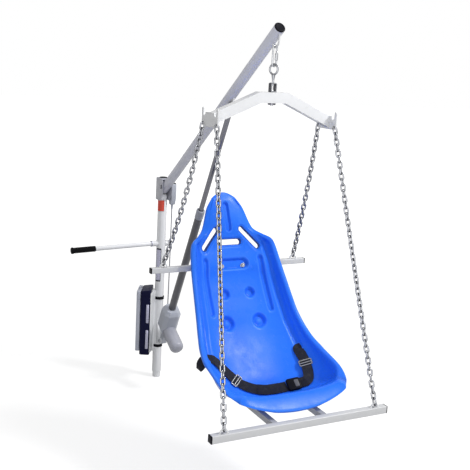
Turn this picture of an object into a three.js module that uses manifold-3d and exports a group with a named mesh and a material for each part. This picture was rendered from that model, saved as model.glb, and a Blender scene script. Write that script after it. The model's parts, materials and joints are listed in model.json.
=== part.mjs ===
// Pool patient lift: a swivelling deck mast, an electric boom and a hanging bucket seat.
// Millimetres, +Z up. The origin is the centre of the mast's foot. The seat faces -Y.
import * as THREE from 'three';
import { mergeVertices } from 'three/addons/utils/BufferGeometryUtils.js';
import Module from 'manifold-3d';

const wasm = await Module();
wasm.setup();

// Driving dimensions
const mastDiameter = 50.8;
const mastHeight = 1176;
const boomLength = 1478;
const boomDiameter = 49;
const boomElevation = 36.36;
const boomPivotForward = 45;
const boomPivotHeight = 1130.8;
const hangerReach = 1163;
const bowHalfWidth = 284;
const bowDrop = 95;
const bowTube = 44.5;
const backBarReach = 868;
const backBarHeight = 885.6;
const backBarHalfLength = 401;
const frontBarReach = 1583;
const frontBarHeight = 395.4;
const frontBarHalfLength = 416;
const seatHalfWidth = 310;
const seatTopHeight = 1217;
const seatTopReach = 745;
const seatFrontHeight = 437;
const seatFrontReach = 1550;

// Shared fits and finishes
const seatGap = 0.3;
const runningGap = 0.6;
const overrun = 4;
const tubeWall = 3;
const plateThickness = 6;
const pinDiameter = 12;
const wireDiameter = 8;
const coarseSides = 10;
const pipeSides = 16;
const mastSides = 24;

// Mast, foot and head
const footDiameter = 43;
const footHeight = 34;
const footSpigot = 90;
const mastTubeTop = 1078;
const headHeight = 118;
const headWall = 4;
const headBack = 31;
const headFront = 66;
const headCapThickness = 8;
const boltHeadDiameter = 22;
const boltHeadHeight = 5;

// Push handle through the mast
const handleHeight = 799;
const handleDroop = 2;
const handleSocketDiameter = 31.75;
const handleSocketLeft = 62;
const handleSocketRight = 52;
const handleTubeDiameter = 25.4;
const handleEnd = 520;
const gripLength = 135;
const gripDiameter = 32;
const gripEndDiameter = 36;
const gripEndLength = 14;

// Control box, battery and their straps on the mast
const boxTurn = 27.5;
const boxBottom = 150;
const boxTop = 537;
const boxThickness = 58;
const boxWidth = 140;
const boxCorner = 14;
const batteryThickness = 24;
const batteryInset = 22;
const batteryShare = 0.98;
const saddleThickness = 14;
const saddleWidth = 44;
const saddleHugShare = 0.5;
const strapHeight = 16;
const strapThickness = 3.5;
const strapCentres = [196, 482];
const stopButtonDiameter = 26;
const stopButtonTravel = 5;
const stopButtonBelowTop = 70;
const latchWidth = 46;
const latchHeight = 12;
const latchDepth = 9;

// Handset, its hook and its hanging cable
const handsetSide = 49;
const handsetForward = 22;
const handsetBottom = 1026;
const handsetTop = 1142;
const handsetWidth = 46;
const handsetThickness = 26;
const handsetNeck = 20;
const handsetTaper = 34;
const handsetCorner = 7;
const hookThickness = 4;
const hookWidth = 18;
const buttonDiameter = 15;
const buttonRise = 3;
const buttonPocket = 5;
const buttonTravelRoom = 1.8;
const buttonShares = [0.72, 0.42];
const cableDiameter = 6;
const cableSides = 8;
const cableSteps = 60;
const handsetCableRoute = [
  [49, -22, 996], [49, -22, 968], [49, -21.8, 900], [49, -21.5, 800], [49, -21, 700],
  [49, -20.3, 600], [49, -19, 500], [48.8, -17, 420], [48.4, -12, 350], [47.8, -3, 290],
  [46, 9, 240], [43, 21, 200], [38, 32, 174], [31, 40, 164], [23.6, 45.9, 163],
  [18.3, 48.7, 163],
];
const plugDiameter = 16;
const plugLength = 16;
const plugHeight = 163;
const plugBehind = 50;
const plugReach = 10;

// Actuator between mast and boom
const actuatorBaseReach = 80;
const actuatorBaseHeight = 245;
const rodEndReach = 793.2;
const rodEndHeight = 1632;
const actuatorTubeStart = 256;
const actuatorTubeLength = 690;
const actuatorTubeDiameter = 40;
const actuatorTubeBore = 34;
const rodFloat = 1.4;
const collarLength = 54;
const collarDiameter = 44;
const rodDiameter = 25.4;
const rodBore = 19;
const rodInside = 110;
const rodEndLength = 46;
const rodEndWidth = 22;
const rodEndRadius = 14;
const rodForkDepth = 28;
const screwDiameter = 11;
const screwLength = 610;
const gearboxBottom = 84;
const gearboxWidth = 90;
const gearboxDepth = 92;
const gearboxChamfer = 20;
const tailWidth = 24;
const tailRadius = 17;
const motorAxisHeight = 118;
const motorDiameter = 76;
const motorReach = 186;
const motorDome = 22;
const bracketThickness = 6;
const bracketTail = 64;
const bracketRise = 70;
const rodLugThickness = 6;
const rodLugTopHalfLength = 40;

// Hanger chain of parts below the boom tip
const stapleHalfWidth = 29;
const stapleDrop = 59;
const stapleSteps = 16;
const quickLinkHeight = 84;
const quickLinkWidth = 33;
const ringDiameter = 43;
const ringSides = 16;
const neckTopDiameter = 16;
const neckDiameter = 9;
const neckDrop = 66.6;
const bowBelowNeck = 64;
const swivelBallDiameter = 14;
const jawWidth = 27;
const jawDepth = 24;
const bowBoltDiameter = 12;
const bowNutWidth = 34;
const bowNutHeight = 8;

// Spreader bow and its hook plates
const bowBendHalf = 63;
const bowWall = 3;
const hookPlateHalfLength = 76;
const hookPlateBelow = 32;
const hookHornRise = 46;
const hookShoulderRise = 27;
const hookNotchWidth = 19;
const hookNotchFloor = 12;
const hookHornWidth = 15;
const eyeHalfSpacing = 64;
const eyeDrop = 18;
const eyeDiameter = 14;
const eyeRim = 12;
const eyeSeatDrop = 4;

// Chains
const chainPitch = 25.4;
const chainWire = 5.6;
const chainLinkWidth = 21;
const chainBridge = 0.3;
const rearChainSag = 18;
const frontChainSag = 3;
const rearChainLinks = 28;
const frontChainLinks = 48;
const chainTwistPerLink = 1.6;
const chainNoseShare = 0.75;
const chainSectionShare = 1.3;
const chainSides = 3;

// Bars, rails and end caps
const backBarTube = 25.4;
const frontBarTube = 31.75;
const barWall = 2.5;
const backLugHalfSpacing = 342;
const frontLugHalfSpacing = 361;
const lugRadius = 17;
const lugWire = 7;
const capThickness = 5;
const capPlug = 18;
const railHalfSpacing = 118;
const railTube = 25.4;
const railBendRadius = 105;
const railKneeReach = 1150;
const railTopReach = 868;
const railBendSteps = 6;
const seatBoltDiameter = 10;
const seatBoltHead = 20;
const seatBoltHeadHeight = 5;
const seatBoltHalfSpacing = 56;
const seatBoltStand = 2;

// Seat shell
const shellThickness = 5;
const seatRows = 27;
const seatColumns = 8;
const seatLipWidth = 28;
const seatLipRise = 12;
const seatLipSkirt = 8;
const frontLipWidth = 50;
const frontLipRise = 42;
const headLipShare = 0.6;
const seatLipTurns = [50, 0];
const seatSquareness = 2.7;
// Stations from the head to the front lip. Each gives the centre line's reach and height,
// then the outer edge's half width, reach and height. Reach and height are shares of the way from
// the seat's top to its front edge, and half width is a share of the seat's half width.
const seatStationShares = [
  [0.012, 0.020, 0.200, 0.015, 0.034],
  [0.031, 0.047, 0.297, 0.037, 0.086],
  [0.068, 0.118, 0.355, 0.060, 0.144],
  [0.098, 0.182, 0.394, 0.077, 0.186],
  [0.111, 0.221, 0.445, 0.098, 0.219],
  [0.118, 0.246, 0.548, 0.139, 0.242],
  [0.126, 0.272, 0.655, 0.168, 0.263],
  [0.143, 0.317, 0.710, 0.188, 0.304],
  [0.188, 0.406, 0.755, 0.242, 0.406],
  [0.208, 0.477, 0.784, 0.298, 0.494],
  [0.262, 0.571, 0.813, 0.360, 0.588],
  [0.317, 0.656, 0.839, 0.410, 0.660],
  [0.379, 0.750, 0.884, 0.476, 0.733],
  [0.447, 0.836, 0.932, 0.547, 0.790],
  [0.522, 0.913, 0.971, 0.634, 0.827],
  [0.609, 0.996, 0.987, 0.714, 0.849],
  [0.690, 1.0366, 0.990, 0.788, 0.868],
  [0.775, 1.022, 0.976, 0.843, 0.886],
  [0.850, 0.972, 0.937, 0.892, 0.905],
  [0.900, 0.942, 0.890, 0.922, 0.919],
  [0.925, 0.938, 0.864, 0.938, 0.928],
  [0.938, 0.944, 0.846, 0.948, 0.935],
];
// Slots in the back as shares: half width for x, height for z
const backSlotWidth = 29;
const centreSlotShares = { left: -0.155, right: 0.155, height: 0.285 };
const wingSlotShares = { innerX: 0.215, innerZ: 0.214, outerX: 0.445, outerZ: 0.311 };
const seatGuessShare = 0.3;
const seatSolverSteps = 24;
const beltSlotLength = 72;
const beltSlotWidth = 15;

// Lap belt. Its route gives places on the seat: across from the middle, then along from the head.
const beltWidth = 48;
const beltThickness = 3;
const beltLift = 7.3;
const beltLevelShare = 0.35;
const beltSteps = 20;
const beltTail = 70;
const beltSlotShares = { along: 0.645, across: 0.57 };
const beltSlotLean = -59;
const buckleLength = 64;
const buckleWidth = 56;
const buckleHeight = 16;
const buckleCorner = 9;
const buckleShares = { along: 0.752, across: 0.25 };
const leftBeltShares = [
  [-0.50, 0.648], [-0.40, 0.659], [-0.30, 0.676], [-0.20, 0.706], [-0.11, 0.736], [-0.02, 0.752],
  [0.10, 0.752],
];
const rightBeltShares = [
  [0.50, 0.648], [0.52, 0.668], [0.53, 0.690], [0.52, 0.720], [0.48, 0.750], [0.43, 0.760],
  [0.38, 0.757],
];

// Directions, and turns that lay a flat outline in the part's planes
const X = new THREE.Vector3(1, 0, 0);
const Y = new THREE.Vector3(0, 1, 0);
const Z = new THREE.Vector3(0, 0, 1);
const sideways = new THREE.Matrix4().makeBasis(Y, Z, X);
const frontways = new THREE.Matrix4().makeBasis(X, Z, Y.clone().negate());
const radians = THREE.MathUtils.degToRad;
const point = (x, y, z) => new THREE.Vector3(x, y, z);
const mirrored = (points) => points.map(([x, y]) => [-x, y]).reverse();

// Geometry helpers
function outward(geometry) {
  for (const name of Object.keys(geometry.attributes)) {
    if (name !== 'position') geometry.deleteAttribute(name);
  }
  const merged = mergeVertices(geometry);
  const place = merged.attributes.position;
  const index = merged.index.array;
  const [a, b, c] = [point(0, 0, 0), point(0, 0, 0), point(0, 0, 0)];
  let volume = 0;
  for (let i = 0; i < index.length; i += 3) {
    a.fromBufferAttribute(place, index[i]);
    b.fromBufferAttribute(place, index[i + 1]);
    c.fromBufferAttribute(place, index[i + 2]);
    volume += a.dot(b.cross(c));
  }
  if (volume < 0) {
    for (let i = 0; i < index.length; i += 3) [index[i], index[i + 1]] = [index[i + 1], index[i]];
  }
  return merged;
}

function solid(geometry) {
  const closed = outward(geometry);
  return new wasm.Manifold(new wasm.Mesh({
    numProp: 3,
    vertProperties: new Float32Array(closed.attributes.position.array),
    triVerts: new Uint32Array(closed.index.array),
  }));
}

function surface(manifold) {
  const mesh = manifold.getMesh();
  const geometry = new THREE.BufferGeometry();
  geometry.setAttribute('position', new THREE.BufferAttribute(mesh.vertProperties.slice(), 3));
  geometry.setIndex(new THREE.BufferAttribute(mesh.triVerts.slice(), 1));
  return geometry;
}

function join(...geometries) {
  return surface(geometries.map(solid).reduce((whole, piece) => whole.add(piece)));
}

function cut(body, ...tools) {
  return surface(tools.map(solid).reduce((rest, tool) => rest.subtract(tool), solid(body)));
}

function bar(from, to, diameter, sides = pipeSides, diameterTo = diameter) {
  const length = from.distanceTo(to);
  const geometry = new THREE.CylinderGeometry(diameterTo / 2, diameter / 2, length, sides);
  const turn = new THREE.Quaternion().setFromUnitVectors(Y, to.clone().sub(from).normalize());
  geometry.applyQuaternion(turn);
  const middle = from.clone().add(to).divideScalar(2);
  return geometry.translate(middle.x, middle.y, middle.z);
}

function pipe(from, to, outer, inner, sides = pipeSides) {
  const along = to.clone().sub(from).setLength(overrun);
  return cut(bar(from, to, outer, sides), bar(from.clone().sub(along), to.clone().add(along), inner, sides));
}

// A turned piece about Z from [diameter, height] pairs, closed on the axis
function turned(profile, sides = pipeSides) {
  const points = profile.map(([diameter, height]) => new THREE.Vector2(diameter / 2, height));
  return new THREE.LatheGeometry(points, sides).rotateX(Math.PI / 2);
}

function shapeOf(points, holes = []) {
  const shape = new THREE.Shape(points.map(([x, y]) => new THREE.Vector2(x, y)));
  for (const hole of holes) {
    shape.holes.push(new THREE.Path(hole.map(([x, y]) => new THREE.Vector2(x, y))));
  }
  return shape;
}

function plate(points, thickness, holes = []) {
  const options = { depth: thickness, bevelEnabled: false, steps: 1 };
  return new THREE.ExtrudeGeometry(shapeOf(points, holes), options).translate(0, 0, -thickness / 2);
}

function arc(cx, cy, radius, from, to, steps) {
  return Array.from({ length: steps + 1 }, (_, i) => {
    const angle = radians(from + (to - from) * i / steps);
    return [cx + radius * Math.cos(angle), cy + radius * Math.sin(angle)];
  });
}

function circle(cx, cy, diameter, sides = coarseSides) {
  return arc(cx, cy, diameter / 2, 0, 360, sides).slice(0, sides);
}

function roundedOutline(width, height, radius, steps = 3) {
  const [x, y] = [width / 2 - radius, height / 2 - radius];
  return [
    ...arc(x, y, radius, 0, 90, steps), ...arc(-x, y, radius, 90, 180, steps),
    ...arc(-x, -y, radius, 180, 270, steps), ...arc(x, -y, radius, 270, 360, steps),
  ];
}

function box(width, depth, height) {
  return new THREE.BoxGeometry(width, depth, height);
}

// Rings of points joined into one closed body, open ended with caps or closed into a loop
function loft(rings, looped = false) {
  const [count, size] = [rings.length, rings[0].length];
  const positions = rings.flat().flatMap((p) => [p.x, p.y, p.z]);
  const index = [];
  const last = looped ? count : count - 1;
  for (let i = 0; i < last; i += 1) {
    const next = (i + 1) % count;
    for (let j = 0; j < size; j += 1) {
      const k = (j + 1) % size;
      const [a, b, c, d] = [i * size + j, i * size + k, next * size + k, next * size + j];
      index.push(a, b, c, a, c, d);
    }
  }
  if (!looped) {
    for (let j = 1; j < size - 1; j += 1) {
      index.push(0, j + 1, j);
      index.push(last * size, last * size + j, last * size + j + 1);
    }
  }
  const geometry = new THREE.BufferGeometry();
  geometry.setAttribute('position', new THREE.BufferAttribute(new Float32Array(positions), 3));
  geometry.setIndex(index);
  return geometry;
}

// Round or square wire bent in one plane, with mitred corners
function bentWire(points, normal, diameter, sides, looped = false, phaseShare = 0.5) {
  const count = points.length;
  const rings = points.map((here, i) => {
    const before = looped ? points[(i + count - 1) % count] : points[Math.max(i - 1, 0)];
    const after = looped ? points[(i + 1) % count] : points[Math.min(i + 1, count - 1)];
    const into = here.clone().sub(before).normalize();
    const out = after.clone().sub(here).normalize();
    if (into.length() === 0) into.copy(out);
    if (out.length() === 0) out.copy(into);
    const along = into.clone().add(out).normalize();
    const across = normal.clone().cross(along).normalize();
    const stretch = 1 / Math.max(along.dot(out), 0.5);
    return Array.from({ length: sides }, (_, j) => {
      const angle = 2 * Math.PI * (j + phaseShare) / sides;
      return here.clone()
        .addScaledVector(across, Math.cos(angle) * stretch * diameter / 2)
        .addScaledVector(normal, Math.sin(angle) * diameter / 2);
    });
  });
  return loft(rings, looped);
}

// Flat points laid in a plane through a centre
function laid(points, centre, across, up) {
  return points.map(([x, y]) => centre.clone().addScaledVector(across, x).addScaledVector(up, y));
}

function material(color, roughness, metalness = 0) {
  return new THREE.MeshStandardMaterial({ color, roughness, metalness });
}

const paint = {
  white: () => material('#eceef2', 0.35, 0.1),
  lilac: () => material('#b9bbc9', 0.4, 0.1),
  blue: () => material('#2f6cf2', 0.38),
  black: () => material('#14151a', 0.55),
  navy: () => material('#15172b', 0.45),
  charcoal: () => material('#55565c', 0.4, 0.3),
  grey: () => material('#8f9199', 0.5),
  pale: () => material('#c4c6cf', 0.45),
  zinc: () => material('#b4b6ba', 0.35, 0.9),
  steel: () => material('#6b6d75', 0.3, 0.9),
  webbing: () => material('#0f1016', 0.8),
  orange: () => material('#e0613c', 0.5),
  red: () => material('#c22a22', 0.45),
};

const lift = new THREE.Group();

function add(group, name, geometry, finish) {
  const mesh = new THREE.Mesh(outward(geometry), paint[finish]());
  mesh.name = name;
  group.add(mesh);
}

// Foot plug that stands in the deck socket, with the mast turning on its spigot
function buildFoot(group) {
  const spigot = mastDiameter - 2 * tubeWall - 2 * runningGap;
  add(group, 'foot_plug', turned([
    [0, 0], [footDiameter, 0], [footDiameter, footHeight - seatGap],
    [spigot, footHeight - seatGap], [spigot, footHeight + footSpigot], [0, footHeight + footSpigot],
  ], mastSides), 'pale');
}

function headWidth() {
  return boomDiameter + 2 * runningGap + 2 * headWall;
}

function buildMast(group) {
  const bore = mastDiameter - 2 * tubeWall;
  const tube = pipe(point(0, 0, footHeight), point(0, 0, mastTubeTop), mastDiameter, bore, mastSides);
  const socketHole = bar(
    point(-mastDiameter, 0, handleHeight), point(mastDiameter, 0, handleHeight),
    handleSocketDiameter + 2 * seatGap, pipeSides,
  );
  const dome = turned([
    [0, -tubeWall], [mastDiameter, -tubeWall], [mastDiameter, 0], [mastDiameter * 0.86, tubeWall * 2],
    [mastDiameter * 0.5, tubeWall * 3], [0, tubeWall * 3.4],
  ], mastSides).translate(0, 0, mastTubeTop);
  add(group, 'mast_tube', join(cut(tube, socketHole), dome), 'white');

  const width = headWidth();
  const bottom = mastHeight - headCapThickness - headHeight;
  const top = mastHeight - headCapThickness;
  const shoulder = boomPivotHeight - boltHeadDiameter * 1.6;
  const profile = [
    [headBack, bottom], [headBack, top], [-headFront * 0.72, top], [-headFront, top - headWall * 2],
    [-headFront, shoulder], [-mastDiameter / 2 - headWall, bottom],
  ];
  const block = plate(profile, width).applyMatrix4(sideways);
  const back = headBack - headWall;
  const channel = box(width - 2 * headWall, headFront * 2 + back, headHeight * 2)
    .translate(0, -headFront + back / 2, bottom + headHeight / 2);
  const seat = bar(
    point(0, 0, bottom - overrun), point(0, 0, top + overrun), mastDiameter + 2 * seatGap, mastSides,
  );
  const boltHole = bar(
    point(-width, -boomPivotForward, boomPivotHeight), point(width, -boomPivotForward, boomPivotHeight),
    pinDiameter + 2 * seatGap,
  );
  add(group, 'mast_head', cut(block, channel, seat, boltHole), 'lilac');

  const cap = plate(roundedOutline(width, headBack + headFront * 0.7, headWall), headCapThickness - seatGap)
    .translate(0, headBack / 2 - headFront * 0.35, top + (headCapThickness + seatGap) / 2);
  add(group, 'head_cap', cap, 'black');

  const side = width / 2 + seatGap;
  const axis = [-boomPivotForward, boomPivotHeight];
  const bolt = join(
    bar(point(-side, ...axis), point(side + boltHeadHeight, ...axis), pinDiameter),
    bar(point(-side - boltHeadHeight, ...axis), point(-side, ...axis), boltHeadDiameter, 6),
    bar(point(side, ...axis), point(side + boltHeadHeight, ...axis), boltHeadDiameter, 6),
  );
  add(group, 'boom_pivot_bolt', bolt, 'steel');
}

// The push handle slides in a cross tube that passes through the mast
function buildHandle(group) {
  const handle = new THREE.Group();
  handle.position.set(0, 0, handleHeight);
  const bore = handleTubeDiameter + 2 * runningGap;
  add(group, 'handle_socket', pipe(
    point(-handleSocketLeft, 0, handleHeight), point(handleSocketRight, 0, handleHeight),
    handleSocketDiameter, bore,
  ), 'white');
  const droop = radians(handleDroop);
  const elbow = point(-handleSocketLeft - handleTubeDiameter, 0, 0);
  const outwardWay = point(-Math.cos(droop), 0, -Math.sin(droop));
  const reach = (handleEnd + elbow.x) / Math.cos(droop);
  const gripStart = elbow.clone().addScaledVector(outwardWay, reach - gripLength);
  const end = elbow.clone().addScaledVector(outwardWay, reach);
  const tubeEnd = elbow.clone().addScaledVector(outwardWay, reach - gripEndLength);
  const inner = point(handleSocketRight - seatGap, 0, 0);
  const path = [inner, elbow, tubeEnd];
  add(handle, 'handle_tube', bentWire(path, Y, handleTubeDiameter, pipeSides), 'white');
  const sleeve = join(
    bar(gripStart, tubeEnd.clone().addScaledVector(outwardWay, seatGap), gripDiameter),
    bar(tubeEnd, end, gripEndDiameter, pipeSides, gripDiameter),
  );
  const core = bar(
    gripStart.clone().addScaledVector(outwardWay, -overrun),
    tubeEnd.clone().addScaledVector(outwardWay, seatGap), handleTubeDiameter + 2 * seatGap,
  );
  add(handle, 'handle_grip', cut(sleeve, core), 'black');
  group.add(handle);
}

// Control box, its saddle, battery, latch and the two straps round the mast.
// In this group +X points out from the mast, so the pieces stack along it.
function buildPower(group) {
  const power = new THREE.Group();
  power.rotation.z = radians(180 - boxTurn);
  const radius = mastDiameter / 2;
  const height = boxTop - boxBottom;
  const middle = (boxTop + boxBottom) / 2;
  const saddleOut = radius + saddleThickness;
  const strapOuter = mastDiameter + 2 * (seatGap + strapThickness);

  const saddleDepth = saddleThickness + radius * saddleHugShare;
  const saddleBlock = box(saddleDepth, saddleWidth, height * 0.94)
    .translate(saddleOut - saddleDepth / 2, 0, middle);
  const notch = bar(
    point(0, 0, boxBottom - overrun), point(0, 0, boxTop + overrun), mastDiameter + 2 * seatGap, mastSides,
  );
  const strapNotches = strapCentres.map((z) => bar(
    point(0, 0, z - strapHeight / 2 - seatGap), point(0, 0, z + strapHeight / 2 + seatGap),
    strapOuter + 2 * seatGap, mastSides,
  ));
  add(power, 'box_saddle', cut(saddleBlock, notch, ...strapNotches), 'pale');

  for (const [i, z] of strapCentres.entries()) {
    const ring = pipe(
      point(0, 0, z - strapHeight / 2), point(0, 0, z + strapHeight / 2), strapOuter,
      mastDiameter + 2 * seatGap, mastSides,
    );
    add(power, ['strap_lower', 'strap_upper'][i], ring, 'black');
  }

  const boxIn = saddleOut + seatGap;
  const boxMiddle = boxIn + boxThickness / 2;
  const outline = roundedOutline(boxThickness, boxWidth, boxCorner);
  const body = plate(outline, height).translate(boxMiddle, 0, middle);
  const buttonHeight = boxTop - stopButtonBelowTop;
  const buttonHole = bar(
    point(boxMiddle, -boxWidth / 2 + stopButtonTravel * 4, buttonHeight),
    point(boxMiddle, -boxWidth / 2 - overrun, buttonHeight), stopButtonDiameter + 2 * runningGap,
  );
  const plugTip = mastDiameter / 2 + saddleThickness;
  const socket = bar(
    point(plugTip - overrun, -plugBehind, plugHeight), point(plugTip + plugLength, -plugBehind, plugHeight),
    plugDiameter * 0.7 + 2 * seatGap,
  );
  add(power, 'control_box', cut(body, buttonHole, socket), 'navy');

  const button = turned([
    [0, 0], [stopButtonDiameter * 0.6, 0], [stopButtonDiameter * 0.6, stopButtonTravel * 2],
    [stopButtonDiameter, stopButtonTravel * 2], [stopButtonDiameter, stopButtonTravel * 4.4],
    [stopButtonDiameter * 0.7, stopButtonTravel * 5], [0, stopButtonTravel * 5],
  ]).rotateX(Math.PI / 2)
    .translate(boxMiddle, -boxWidth / 2 + stopButtonTravel * 3 - seatGap, buttonHeight);
  add(power, 'stop_button', button, 'red');

  const batteryHeight = height * batteryShare;
  const batteryIn = boxIn + boxThickness + seatGap;
  const batteryBottom = boxBottom + batteryInset;
  const battery = plate(
    roundedOutline(batteryThickness, boxWidth * 0.94, boxCorner * 0.7), batteryHeight - batteryInset,
  ).translate(batteryIn + batteryThickness / 2, 0, batteryBottom + (batteryHeight - batteryInset) / 2);
  const batteryTop = batteryBottom + batteryHeight - batteryInset;
  const grip = box(latchDepth, latchWidth, latchHeight + overrun)
    .translate(batteryIn + batteryThickness * 0.5, 0, batteryTop + latchHeight / 2 - overrun / 2);
  add(power, 'battery_pack', join(battery, grip), 'pale');

  const lip = seatGap + strapThickness;
  const plugOut = point(plugTip - lip, -plugBehind, plugHeight);
  const plug = join(
    bar(point(plugReach, -plugBehind, plugHeight), plugOut, cableDiameter * 1.4, pipeSides, plugDiameter),
    bar(plugOut.clone().addScaledVector(X, -seatGap),
      point(plugTip + plugLength - lip, -plugBehind, plugHeight), plugDiameter * 0.7),
  );
  add(power, 'cable_plug', plug, 'black');
  group.add(power);
}

// The hand control hangs from a hook on the mast head
function buildHandset(group) {
  const handset = new THREE.Group();
  handset.position.set(handsetSide, -handsetForward, 0);
  const length = handsetTop - handsetBottom;
  const [half, neck] = [handsetWidth / 2, handsetNeck / 2];
  const [cornerX, cornerY] = [half - handsetCorner, length - handsetCorner];
  const outline = [
    [-neck, 0], [neck, 0], [half, handsetTaper], ...arc(cornerX, cornerY, handsetCorner, 0, 90, 4),
    ...arc(-cornerX, cornerY, handsetCorner, 90, 180, 4), [-half, handsetTaper],
  ];
  const body = plate(outline, handsetThickness).applyMatrix4(sideways).translate(0, 0, handsetBottom);
  const face = handsetThickness / 2;
  const pockets = buttonShares.map((share) => bar(
    point(face - buttonPocket, 0, handsetBottom + length * share),
    point(face + overrun, 0, handsetBottom + length * share), buttonDiameter + 2 * seatGap,
  ));
  const relief = bar(
    point(0, 0, handsetCableRoute[0][2] + seatGap), point(0, 0, handsetBottom + overrun),
    cableDiameter * 1.3, pipeSides, handsetNeck * 0.75,
  );
  add(handset, 'handset_body', join(cut(body, ...pockets), relief), 'pale');
  for (const [i, share] of buttonShares.entries()) {
    add(handset, ['up_button', 'down_button'][i], bar(
      point(face - buttonPocket + buttonTravelRoom, 0, handsetBottom + length * share),
      point(face + buttonRise, 0, handsetBottom + length * share), buttonDiameter,
    ), 'charcoal');
  }
  group.add(handset);

  const width = headWidth() / 2;
  const inner = handsetSide - handsetThickness / 2 - seatGap;
  const outer = handsetSide + handsetThickness / 2 + seatGap;
  const top = handsetTop + seatGap;
  const hook = [
    [width + seatGap, top - handsetTaper], [inner, top - handsetTaper], [inner, top], [outer, top],
    [outer, top - hookWidth], [outer + hookThickness, top - hookWidth],
    [outer + hookThickness, top + hookThickness], [width + seatGap, top + hookThickness],
  ];
  add(group, 'handset_hook', plate(hook, hookWidth).applyMatrix4(frontways)
    .translate(0, -handsetForward, 0), 'black');

  const route = new THREE.CatmullRomCurve3(handsetCableRoute.map(([x, y, z]) => point(x, y, z)));
  const section = shapeOf(circle(0, 0, cableDiameter, cableSides));
  const cable = new THREE.ExtrudeGeometry(section, {
    steps: cableSteps, extrudePath: route, bevelEnabled: false,
  });
  add(group, 'handset_cable', cable, 'grey');
}

// Two cheeks on the mast that carry the actuator's tail
function buildBracket(group) {
  const gap = tailWidth / 2 + runningGap;
  const face = mastDiameter / 2 + seatGap;
  const low = actuatorBaseHeight - bracketTail / 2;
  const cheek = [
    [-face + overrun, low], [-face + overrun, low + bracketTail + bracketRise],
    [-face - bracketThickness, low + bracketTail + bracketRise],
    ...arc(-actuatorBaseReach, actuatorBaseHeight, tailRadius, 45, 270, 8),
  ];
  const cheeks = [-1, 1].map((side) => plate(cheek, bracketThickness).applyMatrix4(sideways)
    .translate(side * (gap + bracketThickness / 2), 0, 0));
  const web = box(2 * gap, bracketThickness * 1.5, bracketTail + bracketRise)
    .translate(0, -face - bracketThickness * 0.25, low + (bracketTail + bracketRise) / 2);
  const clear = bar(
    point(0, 0, low - overrun), point(0, 0, low + bracketTail + bracketRise + overrun),
    mastDiameter + 2 * seatGap, mastSides,
  );
  const hole = bar(
    point(-mastDiameter, -actuatorBaseReach, actuatorBaseHeight),
    point(mastDiameter, -actuatorBaseReach, actuatorBaseHeight), pinDiameter + 2 * seatGap,
  );
  add(group, 'actuator_bracket', cut(join(...cheeks, web), clear, hole), 'white');
  const reach = gap + bracketThickness + seatGap;
  const pin = join(
    bar(point(-reach - boltHeadHeight, -actuatorBaseReach, actuatorBaseHeight),
      point(reach + boltHeadHeight, -actuatorBaseReach, actuatorBaseHeight), pinDiameter),
    bar(point(-reach - boltHeadHeight, -actuatorBaseReach, actuatorBaseHeight),
      point(-reach, -actuatorBaseReach, actuatorBaseHeight), pinDiameter * 1.6),
    bar(point(reach, -actuatorBaseReach, actuatorBaseHeight),
      point(reach + boltHeadHeight, -actuatorBaseReach, actuatorBaseHeight), pinDiameter * 1.6),
  );
  add(group, 'actuator_pin', pin, 'steel');
}

const rodLine = point(0, -rodEndReach, rodEndHeight).sub(point(0, -actuatorBaseReach, actuatorBaseHeight));
const actuatorLength = rodLine.length();
const actuatorLean = Math.atan2(-rodLine.y, rodLine.z);

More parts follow.
